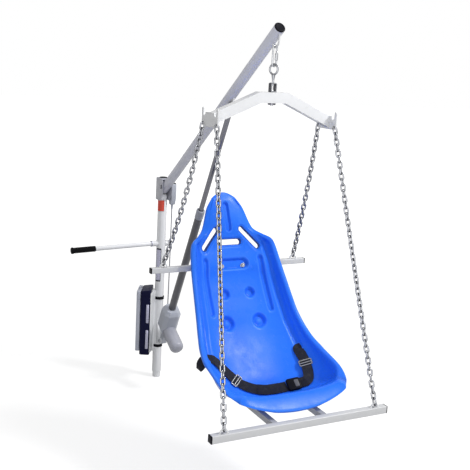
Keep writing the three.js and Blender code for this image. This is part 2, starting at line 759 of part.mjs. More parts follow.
// In the actuator's group +Z runs from its tail pin to the rod end
function buildActuator(group) {
  const actuator = new THREE.Group();
  actuator.position.set(0, -actuatorBaseReach, actuatorBaseHeight);
  actuator.rotation.x = actuatorLean;
  const tubeTop = actuatorTubeStart + actuatorTubeLength;
  const collarBottom = tubeTop - collarLength;

  const outline = [];
  for (const [sx, sy] of [[1, 1], [-1, 1], [-1, -1], [1, -1]]) {
    const near = [sx * gearboxWidth / 2, sy * (gearboxDepth / 2 - gearboxChamfer)];
    const far = [sx * (gearboxWidth / 2 - gearboxChamfer), sy * gearboxDepth / 2];
    outline.push(...(sx * sy > 0 ? [near, far] : [far, near]));
  }
  const ring = (scale, z) => outline.map(([x, y]) => point(x * scale, y * scale, z));
  const housing = loft([
    ring(0.55, gearboxBottom), ring(0.86, gearboxBottom + gearboxChamfer),
    ring(0.9, actuatorTubeStart - gearboxChamfer * 4), ring(1, actuatorTubeStart - gearboxChamfer * 3),
    ring(1, actuatorTubeStart - gearboxChamfer), ring(0.8, actuatorTubeStart - seatGap),
  ]);
  const tail = plate([
    ...arc(0, 0, tailRadius, 180, 360, 8), [tailRadius, gearboxBottom + gearboxChamfer],
    [-tailRadius, gearboxBottom + gearboxChamfer],
  ], tailWidth, [circle(0, 0, pinDiameter + 2 * seatGap, pipeSides)]).applyMatrix4(sideways);
  const motorSeat = bar(
    point(0, 0, motorAxisHeight), point(0, -motorReach, motorAxisHeight), motorDiameter + 2 * seatGap,
    mastSides,
  );
  const flange = bar(
    point(0, gearboxDepth * 0.3, motorAxisHeight), point(0, -gearboxDepth * 0.42, motorAxisHeight),
    motorDiameter * 1.1, mastSides,
  );
  const motorStart = gearboxDepth * 0.3;
  const seatCut = motorSeat.translate(0, -motorStart, 0);
  const screwHole = bar(
    point(0, 0, actuatorTubeStart - gearboxChamfer), point(0, 0, actuatorTubeStart + overrun),
    screwDiameter + 2 * seatGap,
  );
  add(actuator, 'gear_housing', cut(join(housing, tail, flange), seatCut, screwHole), 'grey');

  const motor = turned([
    [0, motorStart + seatGap], [motorDiameter, motorStart + seatGap],
    [motorDiameter, motorReach - motorDome], [motorDiameter * 0.92, motorReach - motorDome * 0.5],
    [motorDiameter * 0.72, motorReach - motorDome * 0.15], [motorDiameter * 0.4, motorReach],
    [0, motorReach],
  ], mastSides).rotateX(Math.PI / 2).translate(0, 0, motorAxisHeight);
  add(actuator, 'motor_housing', motor, 'grey');

  add(actuator, 'actuator_tube', pipe(
    point(0, 0, actuatorTubeStart), point(0, 0, collarBottom - seatGap), actuatorTubeDiameter,
    actuatorTubeBore, mastSides,
  ), 'charcoal');
  const collar = cut(
    turned([
      [0, collarBottom], [collarDiameter * 0.9, collarBottom], [collarDiameter, collarBottom + overrun],
      [collarDiameter, tubeTop - overrun], [collarDiameter * 0.88, tubeTop], [0, tubeTop],
    ], mastSides),
    bar(point(0, 0, collarBottom - overrun), point(0, 0, tubeTop + overrun),
      rodDiameter + 2 * rodFloat, mastSides),
  );
  add(actuator, 'tube_collar', collar, 'pale');
  add(actuator, 'lead_screw', bar(
    point(0, 0, actuatorTubeStart - gearboxChamfer + seatGap), point(0, 0, actuatorTubeStart + screwLength),
    screwDiameter, coarseSides,
  ), 'steel');
  group.add(actuator);

  const rod = new THREE.Group();
  rod.position.copy(actuator.position);
  rod.rotation.copy(actuator.rotation);
  const rodTop = actuatorLength - rodEndLength;
  add(rod, 'actuator_rod', pipe(
    point(0, 0, tubeTop - rodInside), point(0, 0, rodTop), rodDiameter, rodBore, mastSides,
  ), 'steel');
  const fork = join(
    bar(point(0, 0, rodTop + seatGap), point(0, 0, actuatorLength - pinDiameter), rodDiameter * 0.96),
    plate(circle(0, 0, 2 * rodEndRadius, pipeSides), rodEndWidth).applyMatrix4(sideways)
      .translate(0, 0, actuatorLength),
  );
  const eye = bar(
    point(-mastDiameter, 0, actuatorLength), point(mastDiameter, 0, actuatorLength),
    pinDiameter + 2 * seatGap,
  );
  const slot = rodLugThickness / 2 + runningGap;
  const forkSlot = box(2 * slot, rodEndRadius * 4, rodForkDepth * 2)
    .translate(0, 0, actuatorLength);
  add(rod, 'rod_end', cut(fork, eye, forkSlot), 'steel');
  group.add(rod);
}

// In the boom's group -Y runs out along the tube from the pivot
function buildBoom(group) {
  const boom = new THREE.Group();
  boom.position.set(0, -boomPivotForward, boomPivotHeight);
  boom.rotation.x = -radians(boomElevation);
  const elevation = radians(boomElevation);
  const start = boomDiameter * 0.66;
  const end = boomLength - boomPivotForward / Math.cos(elevation);
  const bore = boomDiameter - 2 * tubeWall;
  const tube = cut(
    bar(point(0, start, 0), point(0, -end, 0), boomDiameter, mastSides),
    bar(point(0, start + overrun, 0), point(0, -end - overrun, 0), bore, mastSides),
    bar(point(-boomDiameter, 0, 0), point(boomDiameter, 0, 0), pinDiameter + 2 * seatGap),
  );
  add(boom, 'boom_tube', tube, 'lilac');
  const cap = turned([
    [0, -capPlug], [bore - 2 * seatGap, -capPlug], [bore - 2 * seatGap, seatGap], [boomDiameter, seatGap],
    [boomDiameter, capThickness * 0.5], [boomDiameter * 0.86, capThickness], [0, capThickness * 1.2],
  ], mastSides).rotateX(Math.PI / 2).translate(0, -end, 0);
  add(boom, 'boom_cap', cap, 'black');

  // The rod's lug stands below the tube
  const local = point(0, -rodEndReach + boomPivotForward, rodEndHeight - boomPivotHeight)
    .applyAxisAngle(X, elevation);
  const under = -boomDiameter / 2 + boomDiameter * 0.08;
  const lugHole = circle(local.y, local.z, pinDiameter + 2 * seatGap, pipeSides);
  const lug = plate([
    [local.y - rodLugTopHalfLength, under], ...arc(local.y, local.z, rodEndRadius, 200, 340, 6),
    [local.y + rodLugTopHalfLength, under],
  ], rodLugThickness, [lugHole]).applyMatrix4(sideways);
  const clear = bar(point(0, 0, 0), point(0, -end, 0), boomDiameter + 2 * seatGap, mastSides);
  add(boom, 'rod_lug', cut(lug, clear), 'white');
  const reach = rodEndWidth / 2 + seatGap;
  const pin = join(
    bar(point(-reach - overrun, local.y, local.z), point(reach + overrun, local.y, local.z), pinDiameter),
    bar(point(-reach - overrun, local.y, local.z), point(-reach, local.y, local.z), pinDiameter * 1.5),
    bar(point(reach, local.y, local.z), point(reach + overrun, local.y, local.z), pinDiameter * 1.5),
  );
  add(boom, 'rod_pin', pin, 'steel');

  // Staple for the quick link
  const hang = hangLocal(elevation);
  const along = point(0, -Math.cos(elevation), -Math.sin(elevation));
  const rise = point(0, Math.sin(-elevation), Math.cos(elevation));
  const foot = -boomDiameter / 2 * 0.8;
  const legs = laid([
    [-stapleHalfWidth, 0], ...arc(0, -stapleDrop + stapleHalfWidth, stapleHalfWidth, 180, 360, stapleSteps),
    [stapleHalfWidth, 0],
  ], hang, along, rise);
  for (const leg of [legs[0], legs[legs.length - 1]]) leg.addScaledVector(Z, foot - leg.z);
  const staple = bentWire(legs, X, wireDiameter, 8);
  add(boom, 'hanger_staple', cut(staple, clear), 'white');
  group.add(boom);
}

// The hanging point in the boom's own frame
function hangLocal(elevation) {
  const rise = (hangerReach - boomPivotForward) * Math.tan(elevation);
  return point(0, -hangerReach + boomPivotForward, rise).applyAxisAngle(X, elevation);
}

function stapleBottomHeight() {
  const rise = (hangerReach - boomPivotForward) * Math.tan(radians(boomElevation));
  return boomPivotHeight + rise - stapleDrop;
}

// Heights that follow down from the staple
const linkTop = stapleBottomHeight() + wireDiameter + 2 * seatGap;
const linkBottom = linkTop - quickLinkHeight + wireDiameter;
const ringRadius = (ringDiameter - wireDiameter) / 2;
const ringCentre = linkBottom + wireDiameter + runningGap - ringRadius;
const neckBottomHeight = ringCentre - neckDrop;
const bowHeight = neckBottomHeight - bowBelowNeck;

// Quick link, swivel eye and jaw between the boom and the bow
function buildHanger(group) {
  const half = (quickLinkWidth - wireDiameter) / 2;
  const outline = [
    ...arc(0, linkTop - half, half, 0, 180, 6),
    ...arc(0, linkBottom + half, half, 180, 360, 6),
  ];
  const link = bentWire(laid(outline, point(0, -hangerReach, 0), X, Z), Y, wireDiameter, 8, true);
  const nut = bar(
    point(half, -hangerReach, linkTop - quickLinkHeight * 0.66),
    point(half, -hangerReach, linkTop - quickLinkHeight * 0.34), wireDiameter * 1.7, 6,
  );
  add(group, 'quick_link', join(link, nut), 'zinc');

  const ring = bentWire(
    laid(circle(0, ringCentre, 2 * ringRadius, ringSides), point(0, -hangerReach, 0), Y, Z),
    X, wireDiameter, 8, true,
  );
  const neck = turned([
    [0, neckBottomHeight - swivelBallDiameter], [swivelBallDiameter, neckBottomHeight - swivelBallDiameter],
    [swivelBallDiameter, neckBottomHeight - swivelBallDiameter * 0.6],
    [neckDiameter, neckBottomHeight - swivelBallDiameter * 0.5],
    [neckDiameter, neckBottomHeight + neckDiameter],
    [neckTopDiameter, ringCentre - ringRadius - wireDiameter / 2],
    [neckTopDiameter, ringCentre - ringRadius], [0, ringCentre - ringRadius],
  ]).translate(0, -hangerReach, 0);
  add(group, 'swivel_eye', join(ring, neck), 'zinc');

  // The jaw is a stirrup that holds the neck's ball and stands on the bow
  const bowTop = bowHeight + bowTube / 2 + seatGap;
  const jawTop = neckBottomHeight - swivelBallDiameter * 0.6 + plateThickness + seatGap;
  const wall = plateThickness * 0.75;
  const stirrup = [
    [-jawWidth / 2, bowTop], [jawWidth / 2, bowTop], [jawWidth / 2, jawTop - wall],
    [jawWidth / 3, jawTop], [-jawWidth / 3, jawTop], [-jawWidth / 2, jawTop - wall],
  ];
  const room = [
    [-jawWidth / 2 + wall, bowTop + wall], [jawWidth / 2 - wall, bowTop + wall],
    [jawWidth / 2 - wall, jawTop - wall - seatGap], [-jawWidth / 2 + wall, jawTop - wall - seatGap],
  ];
  const jawBlock = plate(stirrup, jawDepth, [room]).applyMatrix4(frontways).translate(0, -hangerReach, 0);
  const neckHole = bar(
    point(0, -hangerReach, jawTop - 2 * wall), point(0, -hangerReach, jawTop + overrun),
    neckDiameter + 2 * runningGap,
  );
  const boltHole = bar(
    point(0, -hangerReach, bowTop - overrun), point(0, -hangerReach, bowTop + wall + overrun),
    bowBoltDiameter + 2 * seatGap,
  );
  add(group, 'swivel_jaw', cut(jawBlock, neckHole, boltHole), 'zinc');

  const bowBottom = bowHeight - bowTube / 2 - seatGap;
  const bolt = join(
    bar(point(0, -hangerReach, bowBottom - bowNutHeight - overrun),
      point(0, -hangerReach, bowTop + wall + seatGap + overrun), bowBoltDiameter),
    bar(point(0, -hangerReach, bowTop + wall + seatGap),
      point(0, -hangerReach, bowTop + wall + seatGap + overrun), bowBoltDiameter * 1.3, 6),
  );
  add(group, 'bow_bolt', bolt, 'zinc');
  add(group, 'bow_nut', pipe(
    point(0, -hangerReach, bowBottom - bowNutHeight), point(0, -hangerReach, bowBottom), bowNutWidth,
    bowBoltDiameter + 2 * seatGap,
  ), 'steel');
}

// Bent square tube with a plate on each end for slings and chains
function buildBow(group) {
  const end = bowHalfWidth - plateThickness / 2 - seatGap;
  const lean = Math.atan2(bowDrop, bowHalfWidth - bowBendHalf);
  const band = (half, reach) => {
    const bend = half * Math.tan(lean / 2);
    const slope = (x, offset) => [
      x, bowHeight + offset / Math.cos(lean) - (x - bowBendHalf) * Math.tan(lean),
    ];
    const right = [[bowBendHalf - bend, bowHeight - half], slope(reach, -half), slope(reach, half),
      [bowBendHalf + bend, bowHeight + half]];
    return [...right, ...mirrored(right)];
  };
  const outer = plate(band(bowTube / 2, end), bowTube).applyMatrix4(frontways);
  const inner = plate(band(bowTube / 2 - bowWall, end + overrun), bowTube - 2 * bowWall)
    .applyMatrix4(frontways);
  const boltHole = bar(
    point(0, 0, bowHeight - bowTube), point(0, 0, bowHeight + bowTube), bowBoltDiameter + 2 * seatGap,
  );
  add(group, 'spreader_bow', cut(outer, inner, boltHole).translate(0, -hangerReach, 0), 'white');

  for (const side of [-1, 1]) {
    add(group, side < 0 ? 'hook_plate_left' : 'hook_plate_right', hookPlate()
      .translate(side * bowHalfWidth, -hangerReach, bowHeight - bowDrop), 'white');
  }
}

function hookPlate() {
  const horn = hookHornWidth / 2;
  const notch = hookNotchWidth / 2;
  const hornX = hookPlateHalfLength - horn;
  const notchX = hookPlateHalfLength - hookHornWidth - notch;
  const shoulder = notchX - notch;
  const rightSide = [
    ...arc(eyeHalfSpacing, -eyeDrop, eyeRim, 270, 360, 4),
    ...arc(hornX, hookHornRise - horn, horn, 0, 180, 6),
    ...arc(notchX, hookNotchFloor + notch, notch, 360, 180, 6),
    [shoulder, hookShoulderRise - overrun], [shoulder - overrun, hookShoulderRise],
  ];
  const bottom = [[eyeHalfSpacing * 0.55, -hookPlateBelow]];
  const eyes = [-1, 1].map((side) => circle(side * eyeHalfSpacing, -eyeDrop, eyeDiameter));
  return plate([...bottom, ...rightSide, ...mirrored(rightSide), ...mirrored(bottom)], plateThickness, eyes)
    .applyMatrix4(sideways);
}

// One chain as its links, each turned a quarter from the last. Each link is a bent wire of
// three-sided section with its flat inside, and a short bridge joins it to the next where they bear.
function chain(top, bottom, links, sag) {
  const chord = bottom.clone().sub(top).normalize();
  const down = Z.clone().negate().addScaledVector(chord, chord.z).normalize();
  const slack = top.clone().lerp(bottom, 0.5).addScaledVector(down, 2 * sag);
  const centres = new THREE.QuadraticBezierCurve3(top, slack, bottom).getSpacedPoints(links - 1);
  const pitch = centres[0].distanceTo(centres[1]);
  const inside = chainWire * chainSectionShare * Math.cos(Math.PI / chainSides) / 2;
  const half = (pitch + chainBridge) / 2 + inside;
  const waist = (chainLinkWidth - chainWire) / 2;
  const nose = waist * chainNoseShare;
  const outline = [[waist, 0], [nose, half], [-nose, half], [-waist, 0], [-nose, -half], [nose, -half]];
  const [positions, index, bearings] = [[], [], []];
  for (let i = 0; i < links; i += 1) {
    const turn = i % 2 * 90 + chainTwistPerLink * Math.min(i, links - 1 - i);
    const centre = centres[i];
    const way = centres[Math.min(i + 1, links - 1)].clone().sub(centres[Math.max(i - 1, 0)]).normalize();
    const flat = X.clone().addScaledVector(way, -X.dot(way)).normalize();
    const across = flat.applyAxisAngle(way, radians(turn));
    const link = bentWire(
      laid(outline, centre, across, way), way.clone().cross(across), chainWire * chainSectionShare,
      chainSides, true, 0,
    );
    const first = positions.length / 3;
    positions.push(...link.attributes.position.array);
    const corners = (ring) => {
      const [here, next] = [first + ring * chainSides, first + (ring + 1) * chainSides];
      return [here + 1, here + 2, next + 2, next + 1];
    };
    const open = [i < links - 1 ? corners(1) : null, i > 0 ? corners(4) : null];
    bearings.push(open);
    const faces = link.index.array;
    for (let k = 0; k < faces.length; k += 3) {
      const face = [first + faces[k], first + faces[k + 1], first + faces[k + 2]];
      if (!open.some((hole) => hole && face.every((vertex) => hole.includes(vertex)))) index.push(...face);
    }
  }
  const at = (vertex) => point(...positions.slice(3 * vertex, 3 * vertex + 3));
  for (let i = 0; i < links - 1; i += 1) {
    const [upper, lower] = [bearings[i][0], bearings[i + 1][1]];
    const away = lower.map((vertex) => at(vertex).distanceTo(at(upper[0])));
    const start = away.indexOf(Math.min(...away));
    for (let m = 0; m < 4; m += 1) {
      const [p, q] = [upper[m], upper[(m + 1) % 4]];
      const [r, t] = [lower[(start - m + 4) % 4], lower[(start - m + 3) % 4]];
      index.push(p, q, t, p, t, r);
    }
  }
  const geometry = new THREE.BufferGeometry();
  geometry.setAttribute('position', new THREE.BufferAttribute(new Float32Array(positions), 3));
  geometry.setIndex(index);
  return geometry;
}

function buildChains(group) {
  const eyeHeight = bowHeight - bowDrop - eyeDrop;
  const bottomHang = chainPitch / 2 - lugWire / 2 - 2 * runningGap;
  const topHang = chainPitch / 2 + eyeSeatDrop;
  const rearLug = backBarHeight + backBarTube / 2 + lugRadius;
  const frontLug = frontBarHeight + frontBarTube / 2 + lugRadius;
  for (const side of [-1, 1]) {
    const name = side < 0 ? 'left' : 'right';
    const rear = [
      point(side * bowHalfWidth, -hangerReach + eyeHalfSpacing, eyeHeight),
      point(side * backLugHalfSpacing, -backBarReach, rearLug),
    ];
    const front = [
      point(side * bowHalfWidth, -hangerReach - eyeHalfSpacing, eyeHeight),
      point(side * frontLugHalfSpacing, -frontBarReach, frontLug),
    ];
    for (const [where, [from, to], links, sag] of [
      ['rear', rear, rearChainLinks, rearChainSag], ['front', front, frontChainLinks, frontChainSag],
    ]) {
      const way = to.clone().sub(from).normalize();
      const top = from.clone().addScaledVector(way, topHang);
      const bottom = to.clone().addScaledVector(way, -bottomHang);
      add(group, `chain_${where}_${name}`, chain(top, bottom, links, sag), 'zinc');
    }
  }
}

// A square cross tube with chain lugs and end caps
function crossBar(group, name, reach, height, half, tube, lugHalf) {
  const inner = tube - 2 * barWall;
  const body = join(box(2 * half, tube, tube), ...[-1, 1].map((side) => bentWire(
    laid([[-lugRadius, 0], ...arc(0, tube / 2, lugRadius, 180, 0, 8), [lugRadius, 0]],
      point(side * lugHalf, 0, 0), X, Z),
    Y, lugWire, 8,
  )));
  const hollow = box(2 * half + 2 * overrun, inner, inner);
  const bolts = [-1, 1].map((side) => bar(
    point(side * seatBoltHalfSpacing, -tube, 0), point(side * seatBoltHalfSpacing, tube, 0),
    seatBoltDiameter + 2 * seatGap, coarseSides,
  ));
  const cuts = name === 'back_bar' ? [hollow, ...bolts] : [hollow];
  add(group, name, cut(body, ...cuts).translate(0, -reach, height), 'white');
  for (const side of [-1, 1]) {
    const plug = join(
      box(capThickness, tube, tube).translate(side * (half + seatGap + capThickness / 2), 0, 0),
      box(capPlug, inner - 2 * seatGap, inner - 2 * seatGap)
        .translate(side * (half + seatGap + capThickness / 2 - capPlug / 2), 0, 0),
    );
    add(group, `${name}_cap_${side < 0 ? 'left' : 'right'}`, plug.translate(0, -reach, height), 'black');
  }
}

// Each rail runs back from the front bar under the seat and bends up to the back bar
function buildRails(group) {
  const top = point(0, -railTopReach, backBarHeight - backBarTube / 2 - seatGap);
  const knee = point(0, -railKneeReach, frontBarHeight);
  const rise = top.clone().sub(knee).normalize();
  const turn = Math.PI - Math.acos(rise.dot(Y) * -1);
  const run = railBendRadius * Math.tan((Math.PI - turn) / 2);
  const from = knee.clone().addScaledVector(Y, -run);
  const to = knee.clone().addScaledVector(rise, run);
  const bend = new THREE.QuadraticBezierCurve3(from, knee, to).getPoints(railBendSteps);
  const start = point(0, -frontBarReach + frontBarTube / 2 + seatGap, frontBarHeight);
  const corner = railTube * Math.SQRT2;
  const path = [start, ...bend, top.clone().addScaledVector(rise, railTube)];
  for (const side of [-1, 1]) {
    const rail = bentWire(path, X, corner, 4);
    const hollow = bentWire(
      [start.clone().addScaledVector(Y, -overrun), ...bend, top.clone().addScaledVector(rise, 2 * railTube)],
      X, corner - 2 * barWall * Math.SQRT2, 4,
    );
    const crop = box(4 * railTube, 4 * railTube, 4 * railTube)
      .translate(0, -railTopReach, top.z + 2 * railTube);
    add(group, side < 0 ? 'rail_left' : 'rail_right', cut(rail, hollow, crop)
      .translate(side * railHalfSpacing, 0, 0), 'white');
  }
}

// Seat shell
function seatStation(share) {
  const last = seatStationShares.length - 1;
  const at = Math.min(Math.max(share, 0), 1) * last;
  const i = Math.min(Math.floor(at), last - 1);
  const t = at - i;
  const pick = (k) => seatStationShares[Math.min(Math.max(k, 0), last)];
  return seatStationShares[0].map((_, column) => {
    const [p0, p1, p2, p3] = [pick(i - 1), pick(i), pick(i + 1), pick(i + 2)].map((row) => row[column]);
    const curve = 2 * p1 + (p2 - p0) * t + (2 * p0 - 5 * p1 + 4 * p2 - p3) * t * t
      + (3 * p1 - p0 - 3 * p2 + p3) * t * t * t;
    return curve / 2;
  });
}

const seatDepth = seatFrontReach - seatTopReach;
const seatHeight = seatTopHeight - seatFrontHeight;
const seatStep = 0.01;

function seatCentre(share) {
  const [reach, drop] = seatStation(share);
  return point(0, -(seatTopReach + reach * seatDepth), seatTopHeight - drop * seatHeight);
}

function seatOutline(share) {
  const [, , half, reach, drop] = seatStation(share);
  return point(half * seatHalfWidth, -(seatTopReach + reach * seatDepth), seatTopHeight - drop * seatHeight);
}

// The direction square to the centre line, towards the sitter
function seatUp(share) {
  const low = Math.max(share - seatStep, 0);
  return seatCentre(Math.min(low + 2 * seatStep, 1)).sub(seatCentre(low)).cross(X).normalize();
}

// How far the lip stands out and up from its outer edge, wider where it faces forward
function lipSize(share, outwardWay) {
  const ahead = Math.max(-outwardWay.y, 0) ** 2;
  const head = headLipShare + (1 - headLipShare) * Math.min(share / headLipShare, 1);
  return {
    width: head * seatLipWidth + (frontLipWidth - seatLipWidth) * ahead,
    rise: head * seatLipRise + (frontLipRise - seatLipRise) * ahead,
  };
}

// The crest of the right lip, in from the outer edge and up
function seatCrest(share) {
  const low = Math.min(Math.max(share - seatStep, 0), 1 - 2 * seatStep);
  const tangent = seatOutline(low + 2 * seatStep).sub(seatOutline(low)).normalize();
  const up = seatUp(share);
  const outwardWay = up.clone().cross(tangent).normalize();
  const { width, rise } = lipSize(share, outwardWay);
  return seatOutline(share).addScaledVector(outwardWay, -width).addScaledVector(up, rise);
}

// A point of the seat's inner face: share runs from head to front, across from -1 to 1
function seatPoint(share, across) {
  const inside = Math.min(Math.max(share, 0), 1);
  const [centre, crest] = [seatCentre(inside), seatCrest(inside)];
  const angle = Math.min(Math.abs(across), 1) * Math.PI / 2;
  const power = 2 / (2 + (seatSquareness - 2) * Math.sin(Math.PI * inside));
  const out = Math.sin(angle) ** power;
  const lift = 1 - Math.cos(angle) ** power;
  return point(
    Math.sign(across) * crest.x * out,
    centre.y + (crest.y - centre.y) * lift, centre.z + (crest.z - centre.z) * lift,
  );
}

function seatNormal(share, across) {
  const [low, left] = [Math.max(share - seatStep, 0), Math.max(across - seatStep, -1)];
  const along = seatPoint(Math.min(low + 2 * seatStep, 1), across).sub(seatPoint(low, across));
  const side = seatPoint(share, Math.min(left + 2 * seatStep, 1)).sub(seatPoint(share, left));
  return along.cross(side).normalize();
}

// The outer edge across the head or the front, from -1 to 1
function endOutline(share, across) {
  const corner = seatOutline(share);
  const middle = share === 0 ? point(0, -seatTopReach, seatTopHeight)
    : point(0, -seatFrontReach, seatFrontHeight);
  const angle = across * Math.PI / 2;
  return point(
    corner.x * Math.sin(angle), middle.y + (corner.y - middle.y) * (1 - Math.cos(angle)),
    middle.z + (corner.z - middle.z) * Math.sin(angle) ** 2,
  );
}

// The inner face and its offset, with a rolled lip round their whole edge
function seatShell() {
  const rows = Array.from({ length: seatRows + 1 }, (_, i) => i / seatRows);
  const columns = Array.from({ length: 2 * seatColumns + 1 }, (_, j) => j / seatColumns - 1);
  const sheets = [0, shellThickness].map((depth) => rows.map((share) => columns.map((across) => (
    seatPoint(share, across).addScaledVector(seatNormal(share, across), -depth)
  ))));
  const [lastRow, lastColumn] = [seatRows, 2 * seatColumns];
  const edge = [
    ...columns.map((_, j) => [0, j]), ...rows.slice(1).map((_, i) => [i + 1, lastColumn]),
    ...columns.slice(1).map((_, j) => [lastRow, lastColumn - 1 - j]),
    ...rows.slice(1, -1).map((_, i) => [lastRow - 1 - i, 0]),
  ];
  const lipRing = (depth, turn, skirt) => edge.map(([i, j]) => {
    const [share, across] = [rows[i], columns[j]];
    const crest = seatPoint(share, across);
    const side = Math.sign(across);
    const outer = i === 0 || i === lastRow ? endOutline(share, across)
      : seatOutline(share).multiply(point(side, 1, 1));
    const up = seatUp(share);
    const outwardWay = outer.sub(crest);
    const rise = -outwardWay.dot(up);
    outwardWay.addScaledVector(up, rise);
    const width = outwardWay.length();
    return crest
      .addScaledVector(outwardWay.normalize(), (width - depth) * Math.cos(radians(turn)))
      .addScaledVector(up, (rise - depth) * Math.sin(radians(turn)) - rise - skirt);
  });
  const lips = [0, shellThickness].map((depth) => [
    ...seatLipTurns.map((turn) => lipRing(depth, turn, 0)), lipRing(depth, 0, seatLipSkirt),
  ]);
  return rimmedSheet(sheets, lips, edge);
}

// Two offset grids, each with rings round its edge, closed along the last rings into one body
function rimmedSheet(sheets, lips, edge) {
  const [rows, columns, count] = [sheets[0].length, sheets[0][0].length, edge.length];
  const layer = rows * columns + lips[0].length * count;
  const points = [0, 1].flatMap((side) => [...sheets[side].flat(), ...lips[side].flat()]);
  const grid = (side, i, j) => side * layer + i * columns + j;
  const ring = (side, r, k) => (r < 0 ? grid(side, ...edge[k % count])
    : side * layer + rows * columns + r * count + k % count);
  const index = [];
  const face = (side, a, b, c, d) => {
    if (side === 0) index.push(a, b, c, a, c, d);
    else index.push(a, c, b, a, d, c);
  };
  for (const side of [0, 1]) {
    for (let i = 0; i < rows - 1; i += 1) {
      for (let j = 0; j < columns - 1; j += 1) {
        face(side, grid(side, i, j), grid(side, i + 1, j), grid(side, i + 1, j + 1), grid(side, i, j + 1));
      }
    }
    for (let r = -1; r < lips[0].length - 1; r += 1) {
      for (let k = 0; k < count; k += 1) {
        face(side, ring(side, r, k), ring(side, r, k + 1), ring(side, r + 1, k + 1), ring(side, r + 1, k));
      }
    }
  }
  const last = lips[0].length - 1;
  for (let k = 0; k < count; k += 1) {
    face(0, ring(0, last, k), ring(0, last, k + 1), ring(1, last, k + 1), ring(1, last, k));
  }
  const geometry = new THREE.BufferGeometry();
  const positions = points.flatMap((p) => [p.x, p.y, p.z]);
  geometry.setAttribute('position', new THREE.BufferAttribute(new Float32Array(positions), 3));
  geometry.setIndex(index);
  return geometry;
}

// The seat with its back slots, its belt slots and the holes for its two upper bolts
function buildSeat(group) {
  const at = (xShare, zShare) => [xShare * seatHalfWidth, seatTopHeight - zShare * seatHeight];
  const band = (from, to, width) => {
    const [dx, dz] = [to[0] - from[0], to[1] - from[1]];
    const turn = THREE.MathUtils.radToDeg(Math.atan2(dz, dx));
    const ends = [[from, turn + 90], [to, turn - 90]];
    return ends.flatMap(([middle, start]) => arc(...middle, width / 2, start, start + 180, 4));
  };
  const wing = wingSlotShares;
  const outlines = [
    band(
      at(centreSlotShares.left, centreSlotShares.height),
      at(centreSlotShares.right, centreSlotShares.height), backSlotWidth,
    ),
    band(at(wing.innerX, wing.innerZ), at(wing.outerX, wing.outerZ), backSlotWidth),
    band(at(-wing.innerX, wing.innerZ), at(-wing.outerX, wing.outerZ), backSlotWidth),
  ];
  const depth = seatDepth / 2;
  const slots = outlines.map((outline) => plate(outline, depth).applyMatrix4(frontways)
    .translate(0, -seatTopReach - depth / 4, 0));
  const beltSlots = [-1, 1].map((side) => {
    const middle = seatPoint(beltSlotShares.along, side * beltSlotShares.across);
    return box(seatHalfWidth / 2, beltSlotWidth, beltSlotLength)
      .rotateX(radians(beltSlotLean)).translate(middle.x, middle.y, middle.z);
  });
  const bolts = [-1, 1].map((side) => bar(
    point(side * seatBoltHalfSpacing, -backBarReach, backBarHeight),
    point(side * seatBoltHalfSpacing, -seatFrontReach, backBarHeight), seatBoltDiameter + 2 * seatGap,
  ));
  add(group, 'seat_shell', cut(seatShell(), ...slots, ...beltSlots, ...bolts), 'blue');
}

// The point of the seat's face at a place across and a height
function seatFace(x, height) {
  let [share, across] = [seatGuessShare, seatGuessShare];
  for (let i = 0; i < seatSolverSteps; i += 1) {
    const here = seatPoint(share, across);
    across *= x / here.x;
    share += (here.z - height) / seatHeight;
  }
  return seatPoint(share, across);
}

// The two upper seat bolts pass through the shell and the back bar
function buildSeatBolts(group) {
  const front = seatFace(seatBoltHalfSpacing, backBarHeight).y - seatBoltStand;
  const back = -backBarReach + backBarTube / 2 + seatGap;
  for (const side of [-1, 1]) {
    const at = (y) => point(side * seatBoltHalfSpacing, y, backBarHeight);
    const bolt = join(
      bar(at(front), at(back + seatBoltHeadHeight), seatBoltDiameter),
      bar(at(front - seatBoltHeadHeight), at(front), seatBoltHead, 6),
      bar(at(back), at(back + seatBoltHeadHeight), seatBoltHead, 6),
    );
    add(group, side < 0 ? 'seat_bolt_left' : 'seat_bolt_right', bolt, 'zinc');
  }
}

// A flat strap along a route of centre points with the direction that its face looks
function strap(centres, faces, width, thickness) {
  const curve = new THREE.CatmullRomCurve3(centres);
  const facing = new THREE.CatmullRomCurve3(faces);
  const rings = Array.from({ length: beltSteps + 1 }, (_, i) => {
    const t = i / beltSteps;
    const here = curve.getPoint(t);
    const along = curve.getTangent(t);
    const up = facing.getPoint(t);
    up.addScaledVector(along, -up.dot(along)).normalize();
    const across = up.clone().cross(along).normalize();
    return [[1, 1], [-1, 1], [-1, -1], [1, -1]].map(([x, y]) => here.clone()
      .addScaledVector(across, x * width / 2).addScaledVector(up, y * thickness / 2));
  });
  return loft(rings);
}

